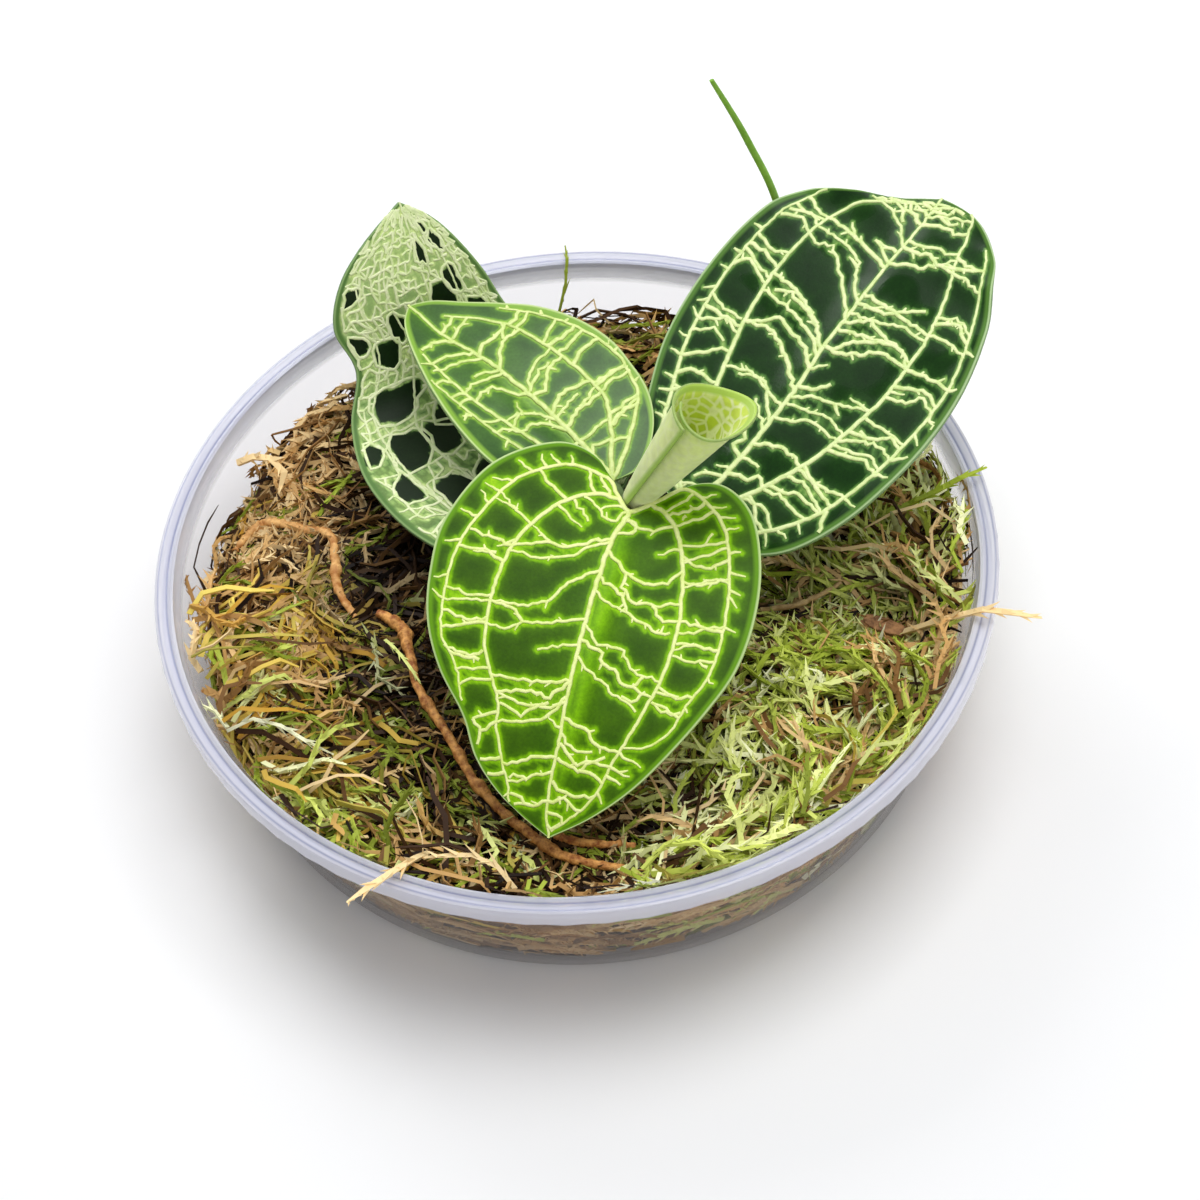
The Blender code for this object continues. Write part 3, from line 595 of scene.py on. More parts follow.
def painted_light_at(places, painted_light_floor):
    """How much painted light each place gets, 0 to 1: low in the moss it lies in painted shade, unless a
    floor given for it says otherwise.
    """
    height = places[:, 2] - moss_top(places[:, 0], places[:, 1]) + PAINTED_SHADE_DROP
    return np.maximum(np.clip(height / PAINTED_LIGHT_SPAN, 0, 1), painted_light_floor)


def painted_hollow_shade(places):
    """How much painted shade the hollows put on each place, 0 to 1."""
    shade = np.zeros(len(places))
    for middle, reach, depth in PAINTED_SHADE_HOLLOWS:
        gap = ((places[:, :2] - np.array(middle)) ** 2).sum(axis=1) / reach ** 2
        shade = np.maximum(shade, depth * np.exp(-gap))
    return shade


def keep_under(paths):
    """Paths lowered as a whole until they pass under the leaves and round the runners."""
    leaf_gap = room_over(leaf_room, paths[..., 0], paths[..., 1])
    line_gap = room_over(line_room, paths[..., 0], paths[..., 1])
    over = np.maximum(paths[..., 2] - np.minimum(leaf_gap, line_gap), 0).max(axis=1)
    paths = paths.copy()
    paths[..., 2] -= over[:, None]
    return paths


def keep_in_pot(places):
    """Places moved in front of the pot's wall and over its base."""
    limit = inner_radius(np.clip(places[:, 2], 0, POT_HEIGHT)) - WALL_CLEARANCE
    reach = np.hypot(places[:, 0], places[:, 1])
    places[:, :2] *= np.minimum(1, limit / np.maximum(reach, 0.01))[:, None]
    places[:, 2] = np.maximum(places[:, 2], WALL + 0.2)
    return places


def lay_shoots(name, node, slot, batches, inside=True, painted_light_floor=0.0):
    """One piece made of many bent shoots. Each batch has its shoot, paths, widths, turns and shades."""
    all_places, all_corners, all_charts = [], [], []
    count = 0
    for (places, corners), paths, widths, turns, shades in batches:
        if inside:
            paths = keep_under(paths)
        bent = bend_shoots(places, paths, widths, turns).reshape(-1, 3)
        if inside:
            bent = keep_in_pot(bent)
        offsets = count + np.arange(len(paths)) * len(places)
        all_corners.append((corners[None] + offsets[:, None, None]).reshape(-1, 3))
        across = (shades[:, None] + 0.006 * (places[:, 1] + 0.4 * places[:, 2])[None]).ravel()
        # Up the chart: lighter towards each shoot's tip, and painted shade low in the moss against painted
        # light at its top
        upwards = np.tile(0.3 * places[:, 0], len(paths)) + 0.7 * painted_light_at(bent, painted_light_floor)
        # Painted shade darkens the moss in its hollows
        if inside:
            upwards = upwards * (1 - painted_hollow_shade(bent))
        all_charts.append(np.stack([across, upwards], axis=1))
        all_places.append(bent)
        count += len(bent)
    corners = np.vstack(all_corners)
    charts = np.clip(np.vstack(all_charts), 0.001, 0.999)
    mesh = bpy.data.meshes.new(name)
    mesh.from_pydata(np.vstack(all_places) * MM, [], corners)
    chart_map = mesh.uv_layers.new(name="OFBake")
    chart_map.data.foreach_set("uv", charts[corners.ravel()].ravel().astype(np.float32))
    piece = bpy.data.objects.new(name, mesh)
    bpy.context.scene.collection.objects.link(piece)
    stand_for(piece, node, slot, loose_moss)


loose_moss = moss_colour()
leaf_room = lowest_over(("leaf_front", "leaf_right", "leaf_left", "leaf_back"), LEAF_SPARE)
line_room = lowest_over(OVER_MOSS, LINE_SPARE)
feathery = straight_shoot(12, 0.4, 13, 1.8, 0.34, math.radians(36))
branched = straight_shoot(13, 0.4, 5, 1.6, 0.34, math.radians(38), branches=8)
fibre = straight_shoot(14, 0.34, flat=0.4)
# Shoot, shade, spread of the shade, shortest and longest, width, rise and stray from the flow of each
# kind, in the order of the shares above
MOSS_KINDS = (
    (feathery, 0.76, 0.05, 8, 16, 0.95, 0.6, 1.0), (branched, 0.88, 0.05, 9, 17, 0.95, 0.65, 1.0),
    (feathery, 0.67, 0.04, 8, 15, 0.9, 0.5, 1.0), (branched, 0.31, 0.06, 8, 15, 0.95, 0.55, 1.0),
    (feathery, 0.35, 0.05, 6, 12, 1.2, 0.5, 1.2), (fibre, 0.51, 0.05, 8, 15, 1.3, 0.65, 0.35),
    (fibre, 0.31, 0.06, 9, 20, 0.9, 0.6, 1.2), (fibre, 0.09, 0.05, 8, 19, 1.2, 0.35, 0.8),
)


def pick_kinds(chance, x, y):
    """A kind for each place, by the shares of the patches near it."""
    middles = np.array([middle for middle, _ in MOSS_PATCHES], float)
    shares = np.array([share for _, share in MOSS_PATCHES], float)
    gap = (x[:, None] - middles[None, :, 0]) ** 2 + (y[:, None] - middles[None, :, 1]) ** 2
    pull = 1 / (gap + PATCH_SOFTNESS) ** PATCH_PULL
    mixed = (pull / pull.sum(axis=1, keepdims=True)) @ (shares / shares.sum(axis=1, keepdims=True))
    draw = chance.uniform(size=(len(x), 1))
    return (mixed.cumsum(axis=1) < draw).sum(axis=1).clip(0, len(MOSS_KINDS) - 1)


def press_to_wall(chance, paths, lift):
    """Paths laid flat along the inside of the pot's wall."""
    paths[:, :, 2] = lift[:, None] + (paths[:, :, 2] - paths[:, :1, 2]) * WALL_STRETCH
    reach = np.hypot(paths[:, :, 0], paths[:, :, 1])
    depth = chance.uniform(*WALL_DEPTH, (len(paths), 1))
    paths[:, :, :2] *= ((inner_radius(paths[:, :, 2]) - depth) / reach)[:, :, None]
    return paths


def batches_of(chance, x, y, flow, lift, wall=False):
    """The shoots of each kind at these places, ready to lay."""
    batches = []
    kinds = pick_kinds(chance, x, y)
    if wall:
        kinds = np.where(chance.uniform(size=len(x)) < TAN_WALL_SHARE, TAN_KIND, kinds)
    for kind, (shoot, shade, spread, shortest, longest, width, rise, stray) in enumerate(MOSS_KINDS):
        here = kinds == kind
        count = int(here.sum())
        if not count:
            continue
        length = chance.uniform(shortest, longest, count)
        heading = flow[here] + (WALL_STRAY if wall else stray) * chance.normal(size=count)
        curl = 0.6 if wall else 0.9
        paths = moss_paths(chance, x[here], y[here], heading, length, rise, curl, lift[here])
        if wall:
            paths = press_to_wall(chance, paths, lift[here])
        widths = width * chance.uniform(0.75, 1.25, count)
        shades = (shade + spread * chance.normal(size=count)).clip(0.02, 0.98)
        batches.append((shoot, paths, widths, chance.uniform(0, 6.28, count), shades))
    return batches


def moss_field(name, seed, count, low_angle, high_angle):
    """Loose moss over one sector of the bed, its angles in degrees."""
    chance = np.random.default_rng(seed)
    angle = np.radians(chance.uniform(low_angle, high_angle, count))
    wall = inner_radius(MOSS_LEVEL) - 1.2
    reach = np.sqrt(chance.uniform(0, 1, count)) * wall
    x = reach * np.cos(angle)
    y = reach * np.sin(angle)
    flow = 1.5 * np.sin(x / 17) + 1.3 * np.cos(y / 13 + 1)
    climb = WALL_CLIMB * np.exp((reach - wall) / CLIMB_REACH) * np.clip((14 - y) / 16, 0.15, 1)
    lift = chance.uniform(-0.8, 2.0, count) + climb * chance.uniform(0.3, 1, count)
    outward = inner_radius(MOSS_LEVEL + lift) / inner_radius(MOSS_LEVEL)
    lay_shoots(name, "moss_bed", "moss", batches_of(chance, x * outward, y * outward, flow, lift))


def wall_field(name, seed, count):
    """Moss pressed flat against the clear wall, all round the pot, painted as light as the tops of the moss,
    with no painted shade.
    """
    chance = np.random.default_rng(seed)
    angle = chance.uniform(0, 2 * math.pi, count)
    x = (BASE_RADIUS - 2) * np.cos(angle)
    y = (BASE_RADIUS - 2) * np.sin(angle)
    flow = angle + math.pi / 2 * chance.choice((-1, 1), count)
    lift = 1.6 + chance.uniform(0, 1, count) * (moss_top(x, y) - 2.2)
    lay_shoots(name, "moss_bed", "moss", batches_of(chance, x, y, flow, lift, wall=True), painted_light_floor=1.0)


def lay_tufts(name, seed, tufts):
    """Tufts of straight fibres that fan out from one place."""
    chance = np.random.default_rng(seed)
    batches = []
    for x, y, heading, shade, length in tufts:
        fan = math.radians(heading) + 0.3 * chance.normal(size=TUFT_FIBRES)
        start = np.array([[x, y]]) + chance.normal(0, 1.1, (TUFT_FIBRES, 2))
        lengths = length * chance.uniform(0.7, 1.15, TUFT_FIBRES)
        lift = chance.uniform(0.3, 2.4, TUFT_FIBRES)
        paths = moss_paths(chance, start[:, 0], start[:, 1], fan, lengths, 0.75, 0.12, lift)
        shades = (shade + 0.035 * chance.normal(size=TUFT_FIBRES)).clip(0.02, 0.98)
        widths = chance.uniform(0.7, 1.3, TUFT_FIBRES)
        batches.append((fibre, paths, widths, chance.uniform(0, 6.28, TUFT_FIBRES), shades))
    lay_shoots(name, "moss_bed", "moss", batches)


moss_field("loose_moss_right", 11, 2000, -60, 45)
moss_field("loose_moss_front", 12, 1900, -150, -60)
moss_field("loose_moss_left", 13, 1800, 130, 210)
moss_field("loose_moss_back", 14, 650, 45, 130)
lay_tufts("moss_tufts", 16, GOLDEN_TUFTS)
wall_field("wall_moss", 15, 1500)


# The front leaf: the youngest open one, bright lime and heart-shaped, with its two lobes round the stem.
# A leaf is one thin sheet, here a flat grid drawn out to its margins, thickened and bent along its midrib.
# Its pale veins are raised ribs that branch out of the midrib and join three or four long curved ones.
LEAF_THICKNESS = 0.55
LEAF_ROWS = 120
LEAF_COLUMNS = 96
STALK_RADIUS = 1.0
GLOW_REACH = 3.4
GLOW_SHARE = 0.62
EDGE_BAND = 1.4
# The fold over the midrib, the relief of the cells, and the waves of a ruffled tip and a waved margin
FOLD_DEPTH = 0.35
FOLD_REACH = 1.6
CELL_RELIEF = 0.08
RUFFLE_WAVES = 34
RUFFLE_START = 0.72
MARGIN_WAVES = 9
# Ribs: height over the leaf, how flat they are, the step between their points, how far long and cross
# ones stray, and the share, turn and length of the short spurs
RIB_LIFT = 0.03
RIB_FLATNESS = 0.4
VEIN_STEP = 0.62
LONG_STRAY = 0.05
CROSS_STRAY = 0.13
SPUR_SHARE = 0.13
SPUR_TURN = (35, 75)
SPUR_LENGTH = (0.5, 1.2)
# The back leaf's net is at least this pale outside its open cells: two shares of its length, and how pale
# it is at each. The rise towards the tip is painted light: the low part lies in the pot's painted shade.
NET_PALENESS_AND_PAINTED_LIGHT = ((0.62, 0.74), (0.3, 0.46))
# Each leaf has the place of its base, its heading, turn and pitch in degrees from base to tip, its length,
# how it is cupped, waved and ruffled, the glow by its midrib, the reach of the light by each vein, the radii
# of its ribs, its midrib and margins on the flat leaf and the path of its stalk. Then come its colours, from
# the middle of a cell to a vein, of the band in the margin and the line on it, of the underside, the edge
# and the ribs, and how rough, shiny and wet it is.
LEAF_FRONT = {
    "base": (7.9, -5.6, 39.2), "heading": -109.0, "turn": -2.0, "pitch": (-8, -20, -33),
    "length": 45.3, "cup": 0.0, "wave": 0.0, "ruffle": 0.0, "glow": 1.0, "halo": 0.6,
    "long_radii": (0.40, 0.37, 0.33, 0.37, 0.33), "cross_radii": (0.22, 0.3),
    "mid": (0, 0.6, 1.5, 3, 6, 11, 16.7, 22.7, 28.5, 34, 39, 43, 45.3),
    "left": ((-0.3, 0.9), (-2.2, 3.5), (-5.6, 7.6), (-6, 12), (-2.3, 16.3), (5, 19), (12.5, 19.8),
             (19.5, 19), (25.5, 16.5), (31.8, 13), (37.2, 9.3), (41.8, 4.8), (45.3, 0)),
    "right": ((-0.3, -0.9), (-2.6, -2.4), (-7.6, -6.5), (-8.8, -12.5), (-4, -20), (5.5, -24), (13.5, -24),
              (20.5, -22.5), (26.6, -19.3), (32.2, -14.6), (37.4, -11.5), (41.6, -6.8), (45.3, 0)),
    "stalk": ((7.3, -7.6, 38.6), (7.6, -7.4, 36.8), (8.2, -6.2, 33.5), (8.6, -5.3, 29.0)),
    "cells": ((0.05, (56, 90, 4)), (0.34, (72, 114, 4)), (0.56, (118, 176, 6)), (0.95, (158, 208, 30))),
    "band": (98, 148, 22), "line": (196, 220, 150), "under": (120, 150, 70), "edge": (176, 204, 120),
    "ribs": ((214, 232, 120), (238, 246, 164)), "roughness": 0.45, "shine": 0.12, "wet": 0.0,
}
# Each vein is a run of points in hundredths: along the leaf from base to tip, and across it from the
# midrib, 0, to the left margin, 100, or the right margin, -100
FRONT_LONG = (
    ((0, 0), (30, -6), (45, -7), (60, -8), (75, -9), (85, -11), (92, -12), (100, 0)),
    ((0, 0), (11, 60), (15, 42), (20, 37), (27, 40), (33, 44), (40, 48), (50, 52), (58, 53), (70, 52),
     (78, 50), (83, 56), (88, 56), (92, 44), (94, 30), (96, 8)),
    ((0, 0), (8, 95), (14, 92), (18, 84), (22, 76), (27, 74), (35, 78), (45, 80), (55, 83), (61, 84),
     (66, 81), (71, 84), (73, 79), (74, 70), (74, 52)),
    ((0, 0), (10, -45), (17, -34), (20, -34), (25, -40), (30, -46), (35, -51), (40, -57), (50, -62),
     (60, -64), (65, -61), (68, -59), (71, -60), (75, -68), (85, -66), (88, -70), (92, -90)),
    ((0, 0), (9, -80), (14, -70), (18, -64), (21, -66), (25, -74), (31, -79), (40, -84), (47, -88),
     (54, -90), (61, -92), (64, -87), (67, -86), (72, -93)),
)
FRONT_CROSS = (
    ((31, 42), (31, 28), (27, 12), (20, 4), (12, 0)), ((16, 0), (24, 12), (29, 11), (26, 0), (30, -7)),
    ((37, 46), (37, 30)), ((35, -7), (36, 0), (40, 10), (43, 25), (43, 38), (41, 48)),
    ((41, -7), (42, 1), (45, 12), (48, 15), (51, 33), (52, 38), (52, 48)), ((44, -7), (46, 2), (48, 16)),
    ((40, 10), (43, 10), (46, 18), (47, 32), (47, 50)), ((47, 32), (50, 40), (50, 52)),
    ((51, -7), (54, 3), (55, 21), (58, 27), (60, 38), (61, 53)),
    ((54, -7), (55, 4), (58, 10), (59, 20), (62, 27), (62, 36), (60, 40)),
    ((57, -7), (60, 5), (62, 16), (64, 25), (65, 35), (67, 46)), ((62, 36), (63, 40), (64, 52)),
    ((64, 30), (65, 40), (63, 46)), ((69, -8), (70, 8), (74, 28), (75, 51)), ((72, -8), (75, 5), (75, 25)),
    ((74, -8), (76, 3), (78, 15), (77, 26), (78, 50)), ((77, -8), (78, 5), (79, 18), (77, 30), (76, 40)),
    ((79, 18), (80, 38), (82, 55)), ((82, -9), (84, 3), (85, 30), (85, 56)),
    ((87, -11), (86, 8), (88, 40), (89, 56)), ((85, 2), (87, 8)), ((90, -12), (90, 6), (91, 20), (93, 34)),
    ((94, -11), (95, 0), (95, 15), (93, 30)), ((22, 76), (24, 55), (25, 39)),
    ((27, 74), (28, 66), (27, 41)), ((30, 76), (31, 60), (31, 43)), ((29, 54), (30, 50)),
    ((37, 78), (37, 60), (36, 46)), ((35, 69), (37, 61)), ((38, 78), (39, 60), (39, 48)),
    ((40, 79), (41, 65), (40, 53), (38, 47)), ((43, 80), (44, 60), (43, 50)),
    ((44, 80), (43, 70), (44, 50)), ((52, 82), (51, 68), (50, 53)), ((51, 82), (52, 60), (52, 53)),
    ((55, 83), (54, 64), (54, 54)), ((54, 66), (55, 54)), ((57, 83), (57, 65), (56, 54)),
    ((58, 80), (57, 73)), ((64, 82), (64, 70), (63, 54)), ((64, 72), (63, 60), (62, 54)),
    ((68, 82), (66, 65), (65, 54)), ((67, 81), (67, 65), (65, 54)), ((75, 52), (78, 84)),
    ((78, 50), (80, 80)), ((80, 52), (82, 78)), ((84, 56), (87, 80)), ((25, 75), (26, 87)),
    ((29, 76), (30, 86)), ((32, 77), (33, 88)), ((35, 78), (35, 88)), ((39, 79), (39, 87)),
    ((42, 79), (43, 90)), ((45, 80), (46, 88)), ((46, 80), (48, 87)), ((51, 81), (52, 90)),
    ((60, 84), (61, 90)), ((66, 81), (67, 86)), ((5, -15), (15, -12), (25, -10)),
    ((12, -24), (20, -22), (27, -26)), ((25, -10), (28, -18), (27, -25), (28, -42)),
    ((30, -44), (31, -32), (32, -26)), ((33, -48), (34, -27)),
    ((32, -7), (37, -22), (39, -32), (39, -40), (42, -58)), ((39, -40), (38, -53)),
    ((33, -7), (40, -26), (42, -38), (43, -59)), ((40, -7), (44, -20), (49, -30), (51, -42), (52, -62)),
    ((50, -7), (53, -30), (54, -42), (56, -50), (56, -63)), ((54, -42), (52, -50), (52, -61)),
    ((55, -8), (56, -18), (58, -31)), ((62, -8), (64, -30), (65, -61)),
    ((62, -8), (66, -20), (66, -35), (68, -59)), ((66, -9), (68, -20), (69, -45), (68, -58)),
    ((65, -9), (70, -20), (72, -40), (74, -65)), ((67, -20), (71, -42), (70, -58)), ((71, -9), (70, -19)),
    ((77, -9), (78, -28), (81, -50), (82, -66)), ((80, -10), (82, -30), (85, -50), (86, -67)),
    ((84, -38), (83, -50), (85, -62)), ((87, -11), (89, -30), (90, -42), (92, -80)),
    ((90, -40), (89, -60), (89, -71)), ((20, -35), (20, -50), (19, -63)), ((25, -41), (24, -52), (22, -67)),
    ((31, -48), (31, -62), (30, -78)), ((38, -54), (37, -66), (36, -82)), ((37, -66), (37, -82)),
    ((42, -59), (42, -70), (42, -84)), ((41, -58), (43, -66)), ((45, -60), (44, -72), (45, -87)),
    ((44, -65), (45, -78)), ((51, -62), (52, -72), (52, -90)), ((52, -62), (53, -74), (54, -90)),
    ((55, -63), (56, -72), (56, -90)), ((56, -64), (57, -74), (59, -91)), ((61, -65), (63, -74), (62, -91)),
    ((63, -68), (63, -80), (63, -88)), ((64, -62), (65, -74), (66, -86)), ((66, -61), (67, -78), (69, -89)),
    ((72, -63), (74, -80), (75, -90)), ((74, -66), (76, -78), (77, -86)), ((75, -90), (77, -87), (80, -92)),
    ((81, -67), (82, -78), (83, -94)), ((84, -66), (85, -80), (86, -94)), ((89, -72), (91, -94)),
    ((25, -74), (24, -84)), ((27, -76), (27, -88)), ((29, -77), (28, -90)), ((31, -79), (31, -92)),
    ((34, -81), (35, -92)), ((36, -82), (36, -93)), ((38, -83), (37, -92)), ((40, -84), (40, -95)),
    ((44, -86), (45, -95)), ((50, -89), (51, -97)), ((54, -90), (53, -97)),
)


def curve_at(points, share):
    """Places on the Catmull-Rom curve through a few points, at shares of its length in points."""
    knots = np.array(points, float)
    last = len(knots) - 1
    place = np.clip(share, 0, 1) * last
    index = np.minimum(place.astype(int), last - 1)
    part = (place - index)[:, None]
    before, start, end, after = (knots[np.clip(index + step, 0, last)] for step in (-1, 0, 1, 2))
    return 0.5 * (2 * start + (end - before) * part + (2 * before - 5 * start + 4 * end - after) * part ** 2
                  + (3 * start - before - 3 * end + after) * part ** 3)


def spread_radii(radii, count):
    """A radius for each point of a path from a few spread evenly along it."""
    return np.interp(np.linspace(0, 1, count), np.linspace(0, 1, len(radii)), radii)


def flat_leaf(leaf, along, across):
    """Flat places, x along the midrib, for shares along the leaf and across its half to either margin."""
    middle = curve_at([(x, 0.0) for x in leaf["mid"]], along)
    left = curve_at(leaf["left"], along)
    right = curve_at(leaf["right"], along)
    margin = np.where(across[:, None] > 0, left, right)
    reach = np.abs(across)[:, None]
    return middle * (1 - reach) + margin * reach


def midrib_frame(leaf, samples=120):
    """Places and directions along a leaf's midrib, from a little behind its base to past its tip."""
    along = np.linspace(-0.3, 1.1, samples)
    inside = np.clip(along, 0.0, 1.0)
    pitch = np.radians(np.interp(inside, np.linspace(0, 1, len(leaf["pitch"])), leaf["pitch"]))
    heading = np.radians(leaf["heading"] + leaf["turn"] * inside)
    level = np.stack([np.cos(heading), np.sin(heading), np.zeros(samples)], axis=1)
    forward = level * np.cos(pitch)[:, None]
    forward[:, 2] = np.sin(pitch)
    places = np.cumsum(forward, axis=0) * (along[1] - along[0]) * leaf["length"]
    base = np.array([np.interp(0.0, along, places[:, axis]) for axis in range(3)])
    side = np.stack([-np.sin(heading), np.cos(heading), np.zeros(samples)], axis=1)
    return along, places - base + np.array(leaf["base"]), side, np.cross(forward, side)


def bend_leaf(leaf, flat, lift):
    """Flat leaf places carried onto the curved midrib, cupped across and waved, and lifted off it."""
    along, places, side, upward = midrib_frame(leaf)
    share = flat[:, 0] / leaf["length"]

    def read(table):
        """A table of the midrib read at each place's share of the leaf."""
        return np.stack([np.interp(share, along, table[:, axis]) for axis in range(3)], axis=1)

    curl = leaf["cup"] / 100.0
    angle = curl * flat[:, 1]
    across = flat[:, 1] if curl == 0 else np.sin(angle) / curl
    rise = 0 * angle if curl == 0 else (1 - np.cos(angle)) / curl
    half = np.sign(flat[:, 1])
    outward = np.abs(flat[:, 1]) / max(abs(y) for _, y in leaf["left"] + leaf["right"])
    rise = rise + leaf["wave"] * outward ** 3 * np.sin(MARGIN_WAVES * share + 0.5 * half)
    waves = np.sin(RUFFLE_WAVES * share + 2.2 * half) * np.clip((share - RUFFLE_START) / 0.2, 0, 1)
    rise = rise + leaf["ruffle"] * waves * outward
    rise = rise - FOLD_DEPTH * np.exp(-(flat[:, 1] / FOLD_REACH) ** 2) + np.cos(angle) * lift
    across = across - np.sin(angle) * lift
    return read(places) + read(side) * across[:, None] + read(upward) * rise[:, None]


def jagged(chance, points, stray):
    """A flat line with more points, thrown from side to side as a vein runs between cells."""
    gaps = np.hypot(*np.diff(points, axis=0).T)
    reach = np.concatenate([[0], np.cumsum(gaps)])
    count = max(3, int(reach[-1] / VEIN_STEP) + 1)
    place = np.linspace(0, reach[-1], count)
    line = np.stack([np.interp(place, reach, points[:, axis]) for axis in range(2)], axis=1)
    ahead = np.gradient(line, axis=0)
    ahead /= np.maximum(np.linalg.norm(ahead, axis=1, keepdims=True), 1e-6)
    throw = stray * chance.normal(size=count)
    throw[0] = throw[-1] = 0
    return line + throw[:, None] * np.stack([-ahead[:, 1], ahead[:, 0]], axis=1), ahead


def leaf_veins(leaf, long_veins, cross_veins, seed):
    """Every vein of a leaf as flat points with a radius at each."""
    chance = np.random.default_rng(seed)
    veins = []

    def flat_points(vein):
        """A vein's run of points, filled in and carried to the flat leaf."""
        table = np.array(vein, float) / 100
        dense = np.linspace(0, 1, 6 * len(table))
        spread = np.linspace(0, 1, len(table))
        along, across = (np.interp(dense, spread, table[:, axis]) for axis in range(2))
        return flat_leaf(leaf, along, across)

    for thick, vein in zip(leaf["long_radii"], long_veins):
        line, _ = jagged(chance, flat_points(vein), LONG_STRAY)
        veins.append((line, np.linspace(thick, 0.45 * thick, len(line))))
    for vein in cross_veins:
        line, ahead = jagged(chance, flat_points(vein), CROSS_STRAY)
        thick = chance.uniform(*leaf["cross_radii"])
        free_end = 0.45 if len(vein) == 2 else 0.8
        veins.append((line, np.linspace(thick, free_end * thick, len(line))))
        for place in range(2, len(line) - 2):
            if chance.uniform() < SPUR_SHARE:
                turn = math.radians(chance.choice((-1, 1)) * chance.uniform(*SPUR_TURN))
                x, y = ahead[place] * chance.uniform(*SPUR_LENGTH)
                cosine, sine = math.cos(turn), math.sin(turn)
                spur = np.array([x * cosine - y * sine, x * sine + y * cosine])
                spur_line = np.array([line[place], line[place] + 0.55 * spur, line[place] + spur])
                veins.append((spur_line, np.array([0.8, 0.6, 0.35]) * thick))
    return veins


def swept_tubes(name, lines, unit, roundness, twist="MINIMUM"):
    """Closed round tubes as one mesh, each through places with a radius at each, all in a unit in metres."""
    curve = bpy.data.curves.new(name, "CURVE")
    curve.dimensions = "3D"
    curve.twist_mode = twist
    curve.bevel_depth = unit
    curve.bevel_resolution = roundness
    curve.use_fill_caps = True
    for path, radii in lines:
        spline = curve.splines.new("POLY")
        spline.points.add(len(path) - 1)
        for point, place, radius in zip(spline.points, path * unit, radii):
            point.co = (*place, 1)
            point.radius = radius
    guide = bpy.data.objects.new(name, curve)
    bpy.context.scene.collection.objects.link(guide)
    bpy.ops.object.select_all(action="DESELECT")
    guide.select_set(True)
    bpy.context.view_layer.objects.active = guide
    bpy.ops.object.convert(target="MESH")
    return bpy.context.object


def tube_through(name, path, radii, roundness=3):
    """A closed round tube through places in millimetres, with a radius at each."""
    tube = swept_tubes(name, ((path, radii),), MM, roundness)
    bpy.ops.object.shade_smooth()
    return tube


def raised_ribs(name, leaf, veins, skin):
    """The veins of a leaf as flattened tubes on its upper side."""
    lines = [(np.pad(line, ((0, 0), (0, 1))), radii) for line, radii in veins]
    ribs = swept_tubes(name, lines, 1.0, 1, "Z_UP")
    places = vertex_places(ribs, 1.0)
    lift = places[:, 2] * RIB_FLATNESS + LEAF_THICKNESS / 2 + RIB_LIFT
    move_vertices(ribs, bend_leaf(leaf, places[:, :2], lift))
    bpy.ops.object.shade_smooth()
    ribs.data.materials.append(skin)
    return ribs


def nearness(places, veins, halo):
    """How near each flat place is to a vein: 1 on it, falling to 0 in the middle of a cell."""
    line = np.vstack([line for line, _ in veins]).astype(np.float32)
    thick = np.concatenate([radii for _, radii in veins]).astype(np.float32)
    near = np.zeros(len(places), np.float32)
    for start in range(0, len(places), 2000):
        part = places[start:start + 2000, None].astype(np.float32)
        gap = np.sqrt(((part - line[None]) ** 2).sum(axis=2)) - 0.6 * thick[None]
        near[start:start + 2000] = np.exp(-np.maximum(gap, 0).min(axis=1) / halo)
    return near


def add_attribute(piece, name, values):
    """A value at each vertex, for the piece's material."""
    attribute = piece.data.attributes.new(name, "FLOAT", "POINT")
    attribute.data.foreach_set("value", np.ascontiguousarray(values, dtype=np.float32))


def read_attribute(tree, name):
    """The output of the node that reads one of those values."""
    node = tree.nodes.new("ShaderNodeAttribute")
    node.attribute_name = name
    return node.outputs["Fac"]


def lamina_skin(name, leaf):
    """A leaf's upper skin: dark in the middle of each cell, brighter by the veins, with a band of another
    green along the margin and a thin pale line on it."""
    material, tree, shader = new_material(name)
    skin = ramp_of(tree, read_attribute(tree, "vein_nearness"), leaf["cells"])
    blotch = noise_over(tree, 260, 2.0)
    tone = ramp_of(tree, blotch, ((0.35, (0.72, 0.78, 0.8, 1)), (0.65, (1.2, 1.15, 1.1, 1))))
    skin = blend_colours(tree, 0.8, skin, tone, "MULTIPLY")
    grain = noise_over(tree, 2600, 2.0, 0.6)
    skin = blend_colours(tree, 0.9, skin, ramp_of(tree, grain, ((0.3, 0.86), (0.7, 1.14))), "MULTIPLY")
    margin = read_attribute(tree, "margin")
    skin = blend_colours(tree, ramp_of(tree, margin, ((0.15, 0), (0.5, 1))), skin, screen(*leaf["band"]))
    skin = blend_colours(tree, ramp_of(tree, margin, ((0.72, 0), (0.9, 1))), skin, screen(*leaf["line"]))
    tree.links.new(skin, shader.inputs["Base Color"])
    damp_roughness = max(0.1, leaf["roughness"] - leaf["wet"])
    gloss = ramp_of(tree, noise_over(tree, 150, 1.0), ((0.56, leaf["roughness"]), (0.66, damp_roughness)))
    tree.links.new(gloss, shader.inputs["Roughness"])
    shader.inputs["Specular IOR Level"].default_value = leaf["shine"]
    bump(tree, grain, shader, 0.03, 0.5)
    return material


